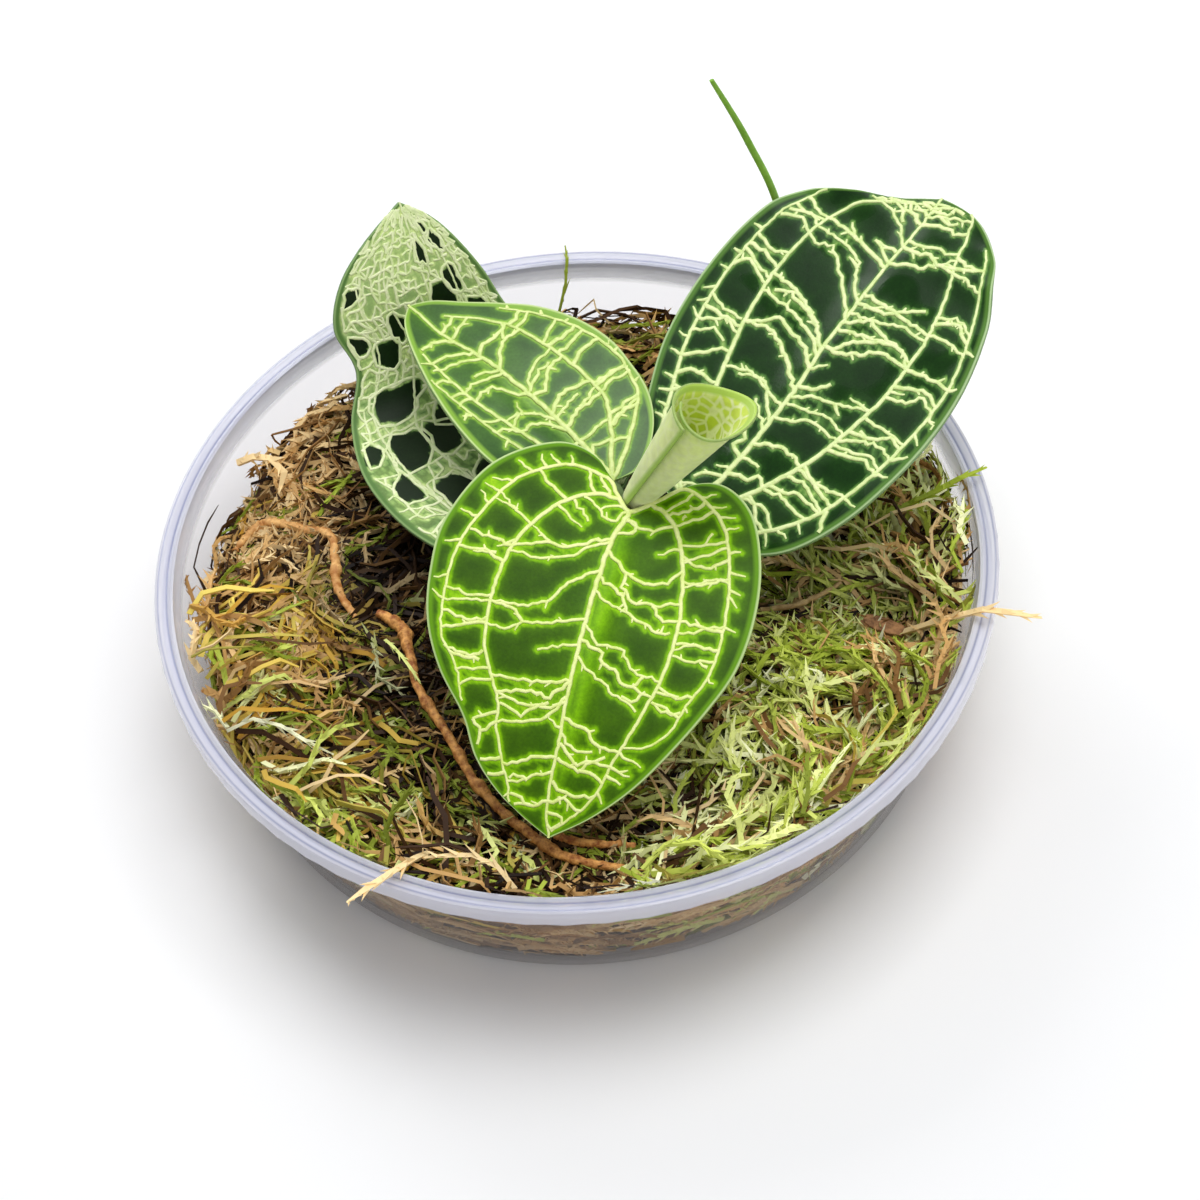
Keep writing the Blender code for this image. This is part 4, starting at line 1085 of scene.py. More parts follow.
def under_skin(name, colour):
    """The paler, matt underside of a leaf."""
    material, tree, shader = new_material(name)
    red, green, blue, _ = screen(*colour)
    base = ramp_of(tree, read_attribute(tree, "vein_nearness"), (
        (0.2, (0.8 * red, 0.8 * green, 0.8 * blue, 1)), (0.9, (1.25 * red, 1.25 * green, 1.25 * blue, 1))))
    mottle = noise_over(tree, 700, 3.0)
    tone = ramp_of(tree, mottle, ((0.3, 0.85), (0.7, 1.1)))
    tree.links.new(blend_colours(tree, 1.0, base, tone, "MULTIPLY"), shader.inputs["Base Color"])
    shader.inputs["Roughness"].default_value = 0.6
    bump(tree, mottle, shader, 0.06)
    return material


def grown_skin(name, dark, light, scale, roughness, depth, detail=(4.0, 0.6), stops=(0.35, 0.65)):
    """Plant skin that is mottled between two colours, with fine bumps."""
    material, tree, shader = new_material(name)
    mottle = noise_over(tree, scale, *detail)
    tree.links.new(ramp_of(tree, mottle, tuple(zip(stops, (dark, light)))), shader.inputs["Base Color"])
    shader.inputs["Roughness"].default_value = roughness
    bump(tree, mottle, shader, depth)
    return material


def cell_wobble(turn, middle_along, middle_across):
    """How much an open cell's outline is drawn in at each angle round its middle."""
    return 0.13 * np.sin(3 * turn + 60 * middle_along) + 0.1 * np.sin(4 * turn + 25 * middle_across)


def cell_offset(cell, along, across):
    """How far places lie from the middle of an open cell, where 1 is its edge."""
    middle_along, middle_across, half_along, half_across = cell
    ahead = (along - middle_along) / half_along
    aside = (across - middle_across) / half_across
    wobble = cell_wobble(np.arctan2(aside, ahead), middle_along, middle_across)
    return np.hypot(ahead, aside) * (1 + wobble)


def thicken(sheet, thickness):
    """Give a sheet its thickness, with its second skin underneath and its third on the cut edge."""
    wall = sheet.modifiers.new("thickness", "SOLIDIFY")
    wall.thickness = thickness * MM
    wall.offset = 0
    wall.material_offset = 1
    wall.material_offset_rim = 2
    bpy.ops.object.modifier_apply(modifier=wall.name)
    bpy.ops.object.shade_smooth()


def join_to(piece, *others):
    """Join other pieces to one."""
    for other in others:
        other.select_set(True)
    piece.select_set(True)
    bpy.context.view_layer.objects.active = piece
    bpy.ops.object.join()


def grow_leaf(name, node, slot, leaf, long_veins, cross_veins, seed, net=(), cells=()):
    """One leaf: its blade, the ribs of its veins and its stalk, joined in one piece."""
    veins = leaf_veins(leaf, long_veins, cross_veins, seed) + list(net)
    bpy.ops.object.select_all(action="DESELECT")
    bpy.ops.mesh.primitive_grid_add(x_subdivisions=LEAF_ROWS, y_subdivisions=LEAF_COLUMNS, size=2)
    blade = bpy.context.object
    blade.name = name
    grid = vertex_places(blade, 1.0)
    along = (grid[:, 0] + 1) / 2
    across = grid[:, 1]
    flat = flat_leaf(leaf, along, across)
    near = nearness(flat, veins, leaf["halo"])
    if cells:
        closed = [np.clip((cell_offset(cell, along, across) - 0.85) / 0.3, 0, 1) for cell in cells]
        # The net's paleness, with painted light rising towards the back leaf's tip, kept out of the open
        # cells
        near = np.maximum(near, np.interp(along, *NET_PALENESS_AND_PAINTED_LIGHT)) * np.min(closed, axis=0)
    fading = np.sin(math.pi * np.clip(along, 0.02, 1)) ** 0.5
    glow = GLOW_SHARE * np.exp(-np.abs(flat[:, 1]) / GLOW_REACH) * fading
    add_attribute(blade, "vein_nearness", np.maximum(near, glow * leaf["glow"]))
    edge_gap = np.linalg.norm(flat_leaf(leaf, along, np.where(across > 0, 1.0, -1.0)) - flat, axis=1)
    add_attribute(blade, "margin", np.clip(1 - edge_gap / EDGE_BAND, 0, 1))
    move_vertices(blade, bend_leaf(leaf, flat, CELL_RELIEF * (0.6 - near)))
    bpy.ops.object.mode_set(mode="EDIT")
    bpy.ops.mesh.select_all(action="SELECT")
    bpy.ops.mesh.remove_doubles(threshold=0.00002)
    bpy.ops.mesh.normals_make_consistent(inside=False)
    bpy.ops.object.mode_set(mode="OBJECT")
    if sum(face.normal.z * face.area for face in blade.data.polygons) < 0:
        blade.data.flip_normals()
    underside = under_skin(name + "_underside", leaf["under"])
    blade.data.materials.append(lamina_skin(name + "_skin", leaf))
    blade.data.materials.append(underside)
    blade.data.materials.append(under_skin(name + "_margin", leaf["edge"]))
    thicken(blade, LEAF_THICKNESS)
    rib_skin = grown_skin(name + "_veins", *leaf["ribs"], 900, 0.45, 0.03, (3.0, 0.55), (0.3, 0.6))
    ribs = raised_ribs(name + "_ribs", leaf, veins, rib_skin)
    stalk_path = curve_at(leaf["stalk"], np.linspace(0, 1, 30))
    stalk = tube_through(name + "_stalk", stalk_path, STALK_RADIUS * spread_radii((0.6, 1, 1), 30))
    stalk.data.materials.append(underside)
    join_to(blade, ribs, stalk)
    stand_for(blade, node, slot)


grow_leaf("front_leaf", "leaf_front", "bright_leaf", LEAF_FRONT, FRONT_LONG, FRONT_CROSS, 21)


# The right leaf: the largest and darkest, wet and satin, with doubled pale veins and a wavy tip.
# It grows from the stem's right side and leans back over the rim.
LEAF_RIGHT = {
    "base": (16.4, 0.4, 32.4), "heading": 41.5, "turn": 0.0, "pitch": (21, 21, 18),
    "length": 56.0, "cup": 0.4, "wave": 0.35, "ruffle": 1.3, "glow": 0.6, "halo": 0.55,
    "long_radii": (0.5, 0.46, 0.4, 0.46, 0.4), "cross_radii": (0.28, 0.4),
    "mid": (0, 0.8, 2.5, 6, 12, 19, 27, 35, 42, 47.5, 51.5, 54.2, 56),
    "left": ((0, 1), (-0.5, 4), (1.5, 8.7), (5, 13), (11, 16.5), (18, 19.5), (26.5, 21.2), (35, 21.3),
             (42, 20), (47, 17), (50, 11.5), (52.4, 5.5), (56, 0)),
    "right": ((-0.5, -1), (-3.5, -6), (-1.6, -11.3), (2.3, -16.4), (9.5, -20.2), (17.5, -22), (25.5, -22.4),
              (33.5, -21.5), (41.5, -19), (47.5, -15.6), (52.3, -12), (55.6, -6.6), (56, 0)),
    "stalk": ((18.9, 2.6, 33.3), (16.0, 0.2, 31.8), (13.4, -0.8, 29.0), (12.8, -0.8, 24.5)),
    "cells": ((0.03, (26, 54, 20)), (0.42, (36, 68, 26)), (0.62, (82, 124, 58)), (0.95, (150, 186, 102))),
    "band": (84, 124, 52), "line": (178, 206, 148), "under": (104, 124, 84), "edge": (140, 176, 112),
    "ribs": ((204, 226, 140), (234, 246, 176)), "roughness": 0.32, "shine": 0.2, "wet": 0.2,
}
RIGHT_LONG = (
    ((0, 0), (24, -9), (35, -8), (44, -7), (52, -3), (65, -1), (80, -2), (100, 0)),
    ((0, 0), (10, 40), (20, 42), (30, 44), (39, 45), (48, 53), (57, 59), (66, 61), (76, 62), (80, 65),
     (85, 60), (90, 45), (93, 20)),
    ((0, 0), (20, 76), (33, 78), (42, 83), (52, 86), (64, 88), (73, 90), (78, 95)),
    ((0, 0), (12, -25), (20, -28), (28, -38), (38, -50), (50, -58), (62, -60), (70, -58), (80, -56),
     (87, -66), (93, -95)),
    ((0, 0), (14, -66), (24, -74), (32, -84), (42, -88), (58, -91), (70, -87), (84, -89)),
)
RIGHT_CROSS = (
    ((25, -9), (24, 0), (22, 15), (20, 20)), ((27, -9), (26, 5)),
    ((30, -8), (31, 4), (33, -2), (35, 8), (36, 4)), ((36, -8), (38, 2), (40, 12)),
    ((38, -8), (41, 6), (43, 12), (43, 30), (42, 46)), ((41, -7), (42, 10), (43, 20), (42, 35)),
    ((44, -7), (46, 4), (49, 24), (50, 35), (49, 53)),
    ((48, -5), (50, 6), (51, 20), (52, 35), (50, 44), (49, 54)),
    ((50, -4), (52, 6), (53, 20), (54, 38), (54, 57)), ((51, -3), (54, 12), (56, 30), (57, 45), (57, 59)),
    ((54, 10), (55, 25), (56, 40), (55, 50)), ((57, -2), (61, 14), (64, 28), (66, 40), (65, 52), (66, 61)),
    ((60, -2), (63, 10), (66, 16), (68, 32), (68, 60)), ((65, 14), (66, 25)),
    ((68, -1), (69, 15), (70, 30), (71, 45), (71, 61)), ((70, 32), (73, 46)),
    ((69, -1), (71, 12), (72, 20)), ((72, 0), (72, 20)), ((74, -1), (78, 12), (80, 22), (82, 35), (84, 60)),
    ((80, 15), (84, 30), (87, 54)), ((82, -1), (86, 25), (90, 45)), ((18, -7), (17, 20), (16, 42)),
    ((13, -5), (12, 20), (11, 41)), ((35, 78), (35, 60), (37, 45)), ((34, 79), (36, 65), (38, 45)),
    ((37, 80), (39, 68), (39, 45)), ((40, 82), (42, 68), (44, 56), (44, 50)),
    ((44, 84), (45, 76), (46, 70), (45, 58)), ((46, 84), (47, 74), (48, 65), (47, 53)),
    ((48, 85), (48, 70), (48, 54)), ((50, 86), (49, 70), (49, 56)),
    ((55, 86), (57, 80), (56, 68), (55, 58)), ((58, 87), (57, 75), (56, 58)),
    ((59, 87), (59, 72), (58, 60)), ((61, 87), (60, 70), (61, 60)), ((66, 87), (68, 76), (66, 61)),
    ((68, 87), (70, 74), (68, 61)), ((70, 88), (69, 76), (70, 62)), ((73, 90), (71, 74), (71, 62)),
    ((25, 77), (25, 60), (26, 43)), ((16, 75), (17, 60), (17, 42)), ((29, 78), (29, 88)),
    ((31, 78), (31, 88)), ((34, 78), (33, 91)), ((36, 79), (36, 90)), ((40, 81), (40, 92)),
    ((43, 83), (43, 92)), ((46, 84), (47, 92)), ((49, 85), (48, 92)), ((51, 86), (50, 93)),
    ((54, 86), (54, 93)), ((57, 87), (57, 93)), ((62, 88), (62, 95)),
    ((26, -9), (28, -22), (30, -32), (29, -39)), ((30, -8), (31, -18), (31, -25)),
    ((33, -8), (35, -18), (36, -28), (36, -40), (35, -48)), ((39, -8), (40, -18), (42, -30), (42, -53)),
    ((42, -7), (43, -25), (44, -40), (43, -53)), ((43, -7), (45, -20), (46, -35), (48, -56)),
    ((46, -35), (45, -42)), ((48, -56), (48, -40)), ((45, -7), (46, -18), (48, -24)), ((48, -5), (50, -14)),
    ((52, -3), (52, -14), (54, -28), (56, -38), (56, -59)),
    ((52, -10), (55, -18), (58, -40), (58, -50), (56, -59)), ((55, -3), (56, -16), (57, -30), (58, -45)),
    ((56, -2), (59, -18), (58, -30), (58, -48), (57, -59)), ((58, -2), (59, -20), (61, -40), (61, -60)),
    ((60, -2), (61, -22), (63, -35), (65, -49)), ((62, -1), (62, -18), (62, -35), (62, -60)),
    ((60, -8), (62, -22)), ((69, -1), (71, -18), (72, -30), (74, -40), (74, -57)),
    ((74, -1), (74, -16), (75, -30), (74, -42), (75, -57)),
    ((76, -2), (76, -18), (78, -34), (77, -44), (79, -56)), ((74, -40), (76, -50), (77, -56)),
    ((82, -2), (84, -20), (85, -35), (84, -45), (86, -64)), ((86, -2), (88, -20), (89, -40), (90, -78)),
    ((18, -7), (20, -28)), ((13, -5), (15, -26)), ((26, -35), (26, -48), (24, -60), (24, -74)),
    ((25, -34), (27, -55), (25, -75)), ((29, -39), (30, -55), (30, -80)),
    ((30, -41), (31, -55), (32, -62), (32, -84)), ((33, -45), (34, -58), (33, -70), (32, -84)),
    ((35, -47), (35, -66), (36, -86)), ((36, -48), (34, -75), (34, -85)),
    ((40, -51), (41, -66), (42, -76), (41, -88)), ((41, -52), (42, -68), (43, -78), (42, -88)),
    ((42, -53), (44, -65), (45, -80), (44, -88)), ((44, -54), (45, -70), (47, -78), (46, -89)),
    ((47, -56), (47, -75), (47, -89)), ((45, -60), (45, -72)), ((51, -58), (52, -72), (54, -78), (53, -90)),
    ((52, -58), (53, -68)), ((53, -59), (55, -78), (54, -90)), ((56, -60), (57, -75), (57, -91)),
    ((62, -60), (63, -76), (62, -90)), ((64, -60), (66, -75), (64, -89)), ((65, -59), (67, -76), (65, -89)),
    ((74, -57), (74, -70), (73, -87)), ((75, -57), (76, -68), (78, -88)), ((78, -56), (77, -68), (78, -88)),
    ((22, -71), (20, -80), (19, -90)), ((24, -74), (22, -90)), ((26, -76), (26, -88)),
    ((29, -80), (28, -90)), ((33, -85), (31, -92), (30, -96)), ((36, -86), (36, -96)),
    ((41, -88), (42, -96)), ((44, -88), (46, -96)), ((49, -90), (48, -96)), ((53, -90), (51, -96)),
    ((57, -91), (58, -96)), ((63, -90), (63, -97)), ((82, 2), (85, 12), (84, 25), (87, 38)),
    ((86, 0), (88, 12), (87, 22), (90, 32)), ((88, 12), (90, 5)), ((90, 0), (92, 14), (91, 26), (93, 38)),
    ((93, 2), (94, 20), (93, 40)), ((87, 38), (89, 52), (87, 64)), ((90, 32), (91, 50), (90, 66)),
    ((84, 25), (82, 36)), ((92, 14), (90, 22)), ((86, 55), (84, 68)),
    ((88, -1), (90, -14), (89, -28), (91, -40)), ((91, 0), (92, -16), (93, -34)), ((90, -14), (92, -16)),
    ((94, 0), (95, -20), (94, -42)), ((91, -40), (93, -52), (92, -70)), ((88, -20), (86, -36), (88, -50)),
    ((93, -34), (94, -55)), ((89, 60), (88, 76), (90, 84)), ((86, 64), (85, 80)),
)
grow_leaf("right_leaf", "leaf_right", "dark_leaf", LEAF_RIGHT, RIGHT_LONG, RIGHT_CROSS, 22)


# The left leaf: the middle one, satin blue-green, folded a little up along its midrib.
# It points to the back left, over the old leaf.
LEAF_LEFT = {
    "base": (6.2, 3.9, 34.9), "heading": 130.5, "turn": 0.0, "pitch": (13, 10, 2),
    "length": 41.5, "cup": 1.6, "wave": 0.0, "ruffle": 0.0, "glow": 0.9, "halo": 0.6,
    "long_radii": (0.5, 0.44, 0.38, 0.44, 0.38), "cross_radii": (0.28, 0.4),
    "mid": (0, 0.4, 1.1, 2.6, 5.6, 10, 15, 21, 26.5, 31, 35.8, 39.2, 41.5),
    "left": ((-0.4, 0.8), (-2, 3), (-1.5, 6), (1, 8.8), (5, 10.3), (10, 11), (15, 11.2), (21, 10.4),
             (26.5, 8.9), (31, 7.2), (35.8, 5), (39.2, 2.8), (41.5, 0)),
    "right": ((-0.4, -0.8), (-1.2, -4), (0.4, -7.8), (3.2, -11.2), (7, -13.6), (11.5, -14.8), (16, -15.4),
              (21.5, -14.6), (27, -12.4), (31.3, -9.4), (35.6, -5.8), (39.2, -2.9), (41.5, 0)),
    "stalk": ((5.0, 5.4, 34.9), (6.0, 4.2, 33.8), (6.9, 3.0, 32.0), (7.1, 2.5, 29.6)),
    "cells": ((0.05, (62, 98, 42)), (0.4, (76, 116, 48)), (0.6, (122, 168, 56)), (0.95, (172, 208, 80))),
    "band": (132, 176, 62), "line": (196, 218, 144), "under": (126, 152, 96), "edge": (150, 186, 110),
    "ribs": ((196, 220, 116), (228, 242, 156)), "roughness": 0.36, "shine": 0.3, "wet": 0.0,
}
LEFT_LONG = (
    ((0, 0), (34, -6), (50, -8), (65, -7), (72, -3), (81, 10), (100, 0)),
    ((0, 0), (15, 25), (30, 30), (43, 33), (52, 43), (62, 58), (70, 66), (78, 80)),
    ((0, 0), (20, 60), (35, 55), (45, 56), (54, 66), (63, 80), (70, 92)),
    ((0, 0), (15, -10), (25, -20), (30, -35), (40, -58), (57, -58), (70, -62), (77, -57), (84, -35)),
    ((0, 0), (17, -30), (26, -57), (34, -89), (44, -95), (56, -92), (69, -88), (75, -88)),
)
LEFT_CROSS = (
    ((37, -6), (37, 6), (38, 31)), ((41, -7), (46, 2), (48, 15), (48, 37)),
    ((45, -7), (49, 0), (52, 20), (50, 40)), ((51, 20), (54, 10)), ((52, 20), (52, 42)),
    ((53, -8), (57, 5), (60, 22), (60, 40), (59, 54)), ((61, -7), (62, 15), (63, 40), (62, 58)),
    ((62, -7), (64, 10), (64, 28)), ((67, -6), (69, 15), (70, 40), (71, 67)),
    ((70, -4), (72, 20), (74, 50), (74, 73)), ((76, 1), (78, 20), (79, 50), (79, 78)),
    ((48, 38), (51, 52), (51, 64), (52, 65)), ((53, 45), (54, 60), (55, 68)),
    ((60, 55), (61, 70), (60, 77)), ((62, 58), (63, 70), (63, 80)), ((66, 62), (68, 74), (68, 90)),
    ((57, 72), (58, 84)), ((71, 67), (72, 80)), ((74, 74), (76, 95)), ((15, 0), (18, 15), (17, 26)),
    ((25, -3), (27, 20), (28, 30)), ((32, -5), (34, 15), (35, 31)), ((20, 27), (21, 45), (22, 59)),
    ((30, 30), (31, 45), (31, 56)), ((38, 32), (39, 45), (39, 56)),
    ((31, -6), (33, -12), (31, -26), (30, -35)), ((37, -7), (36, -20), (36, -40), (35, -47)),
    ((42, -7), (43, -30), (42, -45), (42, -58)), ((43, -32), (44, -58)), ((45, -7), (46, -25), (46, -40)),
    ((47, -8), (49, -30), (47, -50), (46, -58)), ((53, -8), (52, -22), (55, -36), (55, -58)),
    ((54, -8), (57, -25), (58, -40), (58, -58)), ((54, -10), (56, -32), (56, -45)),
    ((62, -7), (65, -24), (67, -40), (66, -61)), ((68, -5), (70, -20), (69, -40), (70, -61)),
    ((67, -40), (69, -50), (71, -61)), ((77, 0), (78, -18), (79, -53)), ((80, 8), (81, -20), (82, -42)),
    ((29, -33), (27, -52), (26, -58)), ((33, -44), (34, -60), (33, -74), (32, -84)),
    ((36, -50), (35, -68), (34, -89)), ((33, -44), (34, -66), (33, -86)), ((42, -58), (42, -74), (40, -95)),
    ((44, -58), (43, -80), (42, -95)), ((45, -58), (44, -78), (41, -95)), ((52, -58), (53, -72), (52, -93)),
    ((56, -58), (56, -75), (56, -92)), ((59, -58), (58, -74), (58, -91)), ((60, -58), (61, -74), (62, -90)),
    ((67, -61), (67, -76), (68, -88)), ((69, -61), (69, -75), (70, -88)), ((37, -92), (37, -98)),
    ((47, -94), (47, -99)), ((50, -93), (50, -98)), ((60, -90), (60, -96)), ((48, 60), (47, 70)),
    ((43, 56), (43, 68)), ((39, 56), (38, 66)), ((58, 75), (57, 86)), ((65, -89), (66, -95)),
    ((73, -88), (74, -95)),
)
grow_leaf("left_leaf", "leaf_left", "middle_leaf", LEAF_LEFT, LEFT_LONG, LEFT_CROSS, 23)


# The back leaf: the oldest, almost black-green with a dense pale net, lying low over the moss at first and
# bent up along the pot's wall, so that its tip stands above the rim.
LEAF_BACK = {
    "base": (1.8, 1.8, 27.4), "heading": 120.0, "turn": -8.0, "pitch": (2, -4, -4, -2, 4, 50, 68, 64, 58),
    "length": 63.0, "cup": 0.0, "wave": 0.0, "ruffle": 0.0, "glow": 0.0, "halo": 0.4,
    "long_radii": (0.34, 0.32, 0.3, 0.32, 0.3), "cross_radii": (0.16, 0.26),
    "mid": (0, 1, 4, 10, 18, 27, 35, 42, 49, 55, 59.5, 63),
    "left": ((-1, 1), (-1.5, 6), (1, 12), (6.5, 17), (15, 20), (26, 20.5), (35, 18), (42, 14), (49, 15),
             (55, 12), (59.5, 6.5), (63, 0)),
    "right": ((-0.5, -1), (1, -4.5), (4, -10), (9, -14.5), (17, -17.5), (27, -17.5), (35, -14.5), (42, -11),
              (49, -9), (55, -6.5), (59.5, -3.8), (63, 0)),
    "stalk": ((0.4, 4.0, 27.3), (2.6, 2.3, 26.5), (4.1, 0.7, 24.0), (4.5, 0.3, 20.5)),
    "cells": ((0.05, (24, 42, 18)), (0.18, (34, 58, 24)), (0.38, (148, 182, 104)), (0.8, (216, 236, 158))),
    "band": (92, 128, 66), "line": (150, 182, 116), "under": (112, 134, 90), "edge": (118, 152, 96),
    "ribs": ((216, 236, 160), (244, 252, 200)), "roughness": 0.45, "shine": 0.15, "wet": 0.0,
}
BACK_LONG = (
    ((0, 0), (30, 3), (60, 0), (100, 0)),
    ((0, 0), (20, 35), (37, 38), (46, 46), (50, 49), (55, 42), (65, 35), (80, 45), (92, 30)),
    ((0, 0), (18, 70), (37, 67), (46, 73), (55, 81), (65, 72), (70, 66), (82, 80), (92, 60)),
    ((0, 0), (20, -40), (45, -50), (65, -45), (82, -50), (93, -20)),
    ((0, 0), (16, -75), (45, -82), (68, -80), (84, -80)),
)
# Open dark cells: their middle along and across the leaf, then half their size along and across
BACK_CELLS = (
    (0.41, 0.8, 0.022, 0.08), (0.485, 0.88, 0.02, 0.07), (0.37, 0.52, 0.028, 0.13),
    (0.465, 0.6, 0.034, 0.15), (0.46, 0.34, 0.03, 0.12), (0.555, 0.58, 0.03, 0.22),
    (0.645, 0.62, 0.026, 0.14), (0.68, 0.85, 0.02, 0.08), (0.685, 0.4, 0.026, 0.1), (0.5, 0.2, 0.03, 0.12),
    (0.78, 0.82, 0.018, 0.09), (0.71, -0.2, 0.03, 0.18), (0.82, -0.1, 0.03, 0.1), (0.74, -0.45, 0.03, 0.12),
    (0.84, -0.55, 0.03, 0.13), (0.89, -0.45, 0.02, 0.1), (0.36, 0.2, 0.03, 0.14), (0.42, 0.05, 0.03, 0.12),
    (0.56, 0.1, 0.03, 0.14), (0.63, 0.22, 0.026, 0.12), (0.28, 0.52, 0.03, 0.14), (0.27, 0.25, 0.03, 0.14),
    (0.2, 0.5, 0.03, 0.14), (0.4, -0.28, 0.03, 0.16), (0.5, -0.25, 0.03, 0.16), (0.6, -0.25, 0.03, 0.14),
    (0.3, -0.25, 0.03, 0.14), (0.45, -0.66, 0.03, 0.12), (0.56, -0.64, 0.03, 0.12),
    (0.33, -0.66, 0.03, 0.12), (0.2, -0.2, 0.03, 0.14), (0.3, 0.82, 0.03, 0.09), (0.2, -0.6, 0.03, 0.12),
    (0.66, -0.62, 0.026, 0.12), (0.13, 0.3, 0.03, 0.2), (0.12, -0.3, 0.03, 0.2),
)
HALF_WIDTH = 17.0
RING_POINTS = 14
RING_REACH = 1.15


def net_veins(leaf, seed, along_span, across_span, spacing):
    """A fine irregular net of short veins over part of a leaf, left out of the open cells."""
    chance = np.random.default_rng(seed)
    rows = int((along_span[1] - along_span[0]) * leaf["length"] / spacing)
    columns = int((across_span[1] - across_span[0]) * HALF_WIDTH / spacing)
    along_stray = chance.normal(0, 0.22 * spacing / leaf["length"], (rows, columns))
    across_stray = chance.normal(0, 0.25 * spacing / HALF_WIDTH, (rows, columns))
    along = np.linspace(*along_span, rows)[:, None] + along_stray
    across = np.clip(np.linspace(*across_span, columns)[None, :] + across_stray, -0.95, 0.95)
    places = flat_leaf(leaf, along.ravel(), across.ravel()).reshape(rows, columns, 2)
    open_cell = np.min([cell_offset(cell, along, across) for cell in BACK_CELLS], axis=0) < 1
    veins = []
    for row, column in np.ndindex(rows, columns):
        for down, right, keep in ((1, 0, 0.62), (0, 1, 0.9), (1, 1, 0.2)):
            if row + down >= rows or column + right >= columns or chance.uniform() > keep:
                continue
            if open_cell[row, column] or open_cell[row + down, column + right]:
                continue
            ends = np.array([places[row, column], places[row + down, column + right]])
            if np.linalg.norm(ends[1] - ends[0]) < 0.5 * spacing:
                continue
            middle = ends.mean(axis=0) + chance.normal(0, 0.14 * spacing, 2)
            radius = chance.uniform(*leaf["cross_radii"])
            veins.append((np.array([ends[0], middle, ends[1]]), np.full(3, radius)))
    return veins


def cell_rings(leaf, seed):
    """A thick vein round each open cell of a leaf."""
    chance = np.random.default_rng(seed)
    veins = []
    for middle_along, middle_across, half_along, half_across in BACK_CELLS:
        turn = np.linspace(0, 2 * math.pi, RING_POINTS)
        reach = RING_REACH / (1 + cell_wobble(turn, middle_along, middle_across))
        reach = reach * (1 + 0.07 * chance.normal(size=RING_POINTS))
        reach[-1] = reach[0]
        along = middle_along + half_along * reach * np.cos(turn)
        across = np.clip(middle_across + half_across * reach * np.sin(turn), -0.93, 0.93)
        veins.append((flat_leaf(leaf, along, across), np.full(RING_POINTS, leaf["cross_radii"][1])))
    return veins


low_net = net_veins(LEAF_BACK, 6, (0.08, 0.7), (-0.93, 0.93), 1.15)
high_net = net_veins(LEAF_BACK, 7, (0.68, 0.97), (-0.9, 0.92), 1.3)
back_net = low_net + high_net + cell_rings(LEAF_BACK, 8)
grow_leaf("back_leaf", "leaf_back", "dark_leaf", LEAF_BACK, BACK_LONG, (), 24, back_net, BACK_CELLS)


# The stem and roots: a fleshy rhizome that creeps through the moss and turns up, ringed at each joint where
# a leaf stood, with thick felted roots down into the moss.
STEM_PATH = ((-14, 8.5, 8.5), (-6, 6, 8.8), (2, 3, 9.8), (7, 1, 14), (8.5, 0, 22), (8.6, -1.6, 30),
             (8.8, -3.0, 37.0))
STEM_RADII = (1.8, 2.0, 2.2, 2.2, 2.1, 1.4)
STEM_JOINTS = (0.12, 0.3, 0.47, 0.6, 0.72, 0.82, 0.91)
ROOT_PATHS = (
    ((8.6, 0.2, 13.2), (9.4, -2.2, 13), (15, -8, 9.5), (23, -14, 6), (31, -17, 3.6)),
    ((1.6, 3.1, 9.6), (1.2, 0.3, 8.8), (-3.5, -8, 7), (-7.5, -18, 4.8), (-9, -27, 3.6)),
    ((6.3, 1.4, 12.6), (5.5, 4.8, 11), (11, 13, 8), (17, 23, 5), (20, 31, 3.8)),
    ((-7.2, 6.4, 8.7), (-8.5, 3.8, 7.6), (-17, 0, 6), (-26, 1, 4.4), (-34, 4, 3.6)),
)
ROOT_RADII = (1.3, 1.3, 0.9)

stem_share = np.linspace(0, 1, 160)
stem_widths = spread_radii(STEM_RADII, 160)
for joint in STEM_JOINTS:
    swelling = 0.13 * np.exp(-((stem_share - joint) / 0.008) ** 2)
    waist = 0.07 * np.exp(-((stem_share - joint - 0.022) / 0.012) ** 2)
    stem_widths = stem_widths * (1 + swelling - waist)
stem = tube_through("creeping_stem", curve_at(STEM_PATH, stem_share), stem_widths, 5)
stand_for(stem, "stem", "stem_flesh", grown_skin("stem_skin", (96, 112, 52), (150, 160, 92), 500, 0.45, 0.05))
root_felt = grown_skin("root_felt", (112, 88, 60), (176, 150, 112), 1500, 0.9, 0.12)
root_share = np.linspace(0.25, 1, 90)
for number, root_path in enumerate(ROOT_PATHS, start=1):
    wrinkles = 0.06 * np.sin(70 * root_share + number) * np.sin(31 * root_share)
    root_widths = spread_radii(ROOT_RADII, 90) * (1 + wrinkles)
    root = tube_through(f"felted_root_{number}", curve_at(root_path, root_share), root_widths)
    stand_for(root, f"root_{number}", "root_skin", root_felt)


# The new leaf: still rolled lengthwise into a widening scroll on the stem's tip, silky outside, with its
# free edge down the viewer's side and a bright lime border and pale net showing inside the mouth.
ROLL_BASE = np.array((8.9, -3.0, 38.2))
ROLL_MOUTH = np.array((19.4, -4.6, 56.0))
ROLL_TURNS = 1.16
ROLL_WALL = 0.34
ROLL_BORDER = 2.6
MOUTH_FLARE = 0.5
EDGE_ANGLE = math.radians(40)
TIP_ANGLE = math.radians(270)
ROLL_OUTSIDE = ((0.0, (226, 234, 168)), (0.5, (238, 246, 170)), (1.0, (232, 246, 146)))
# Inside, the colour darkens deep down the roll as painted shade
ROLL_INSIDE_AND_PAINTED_SHADE = ((0.3, (140, 160, 24)), (0.75, (198, 218, 56)), (1.0, (220, 238, 100)))


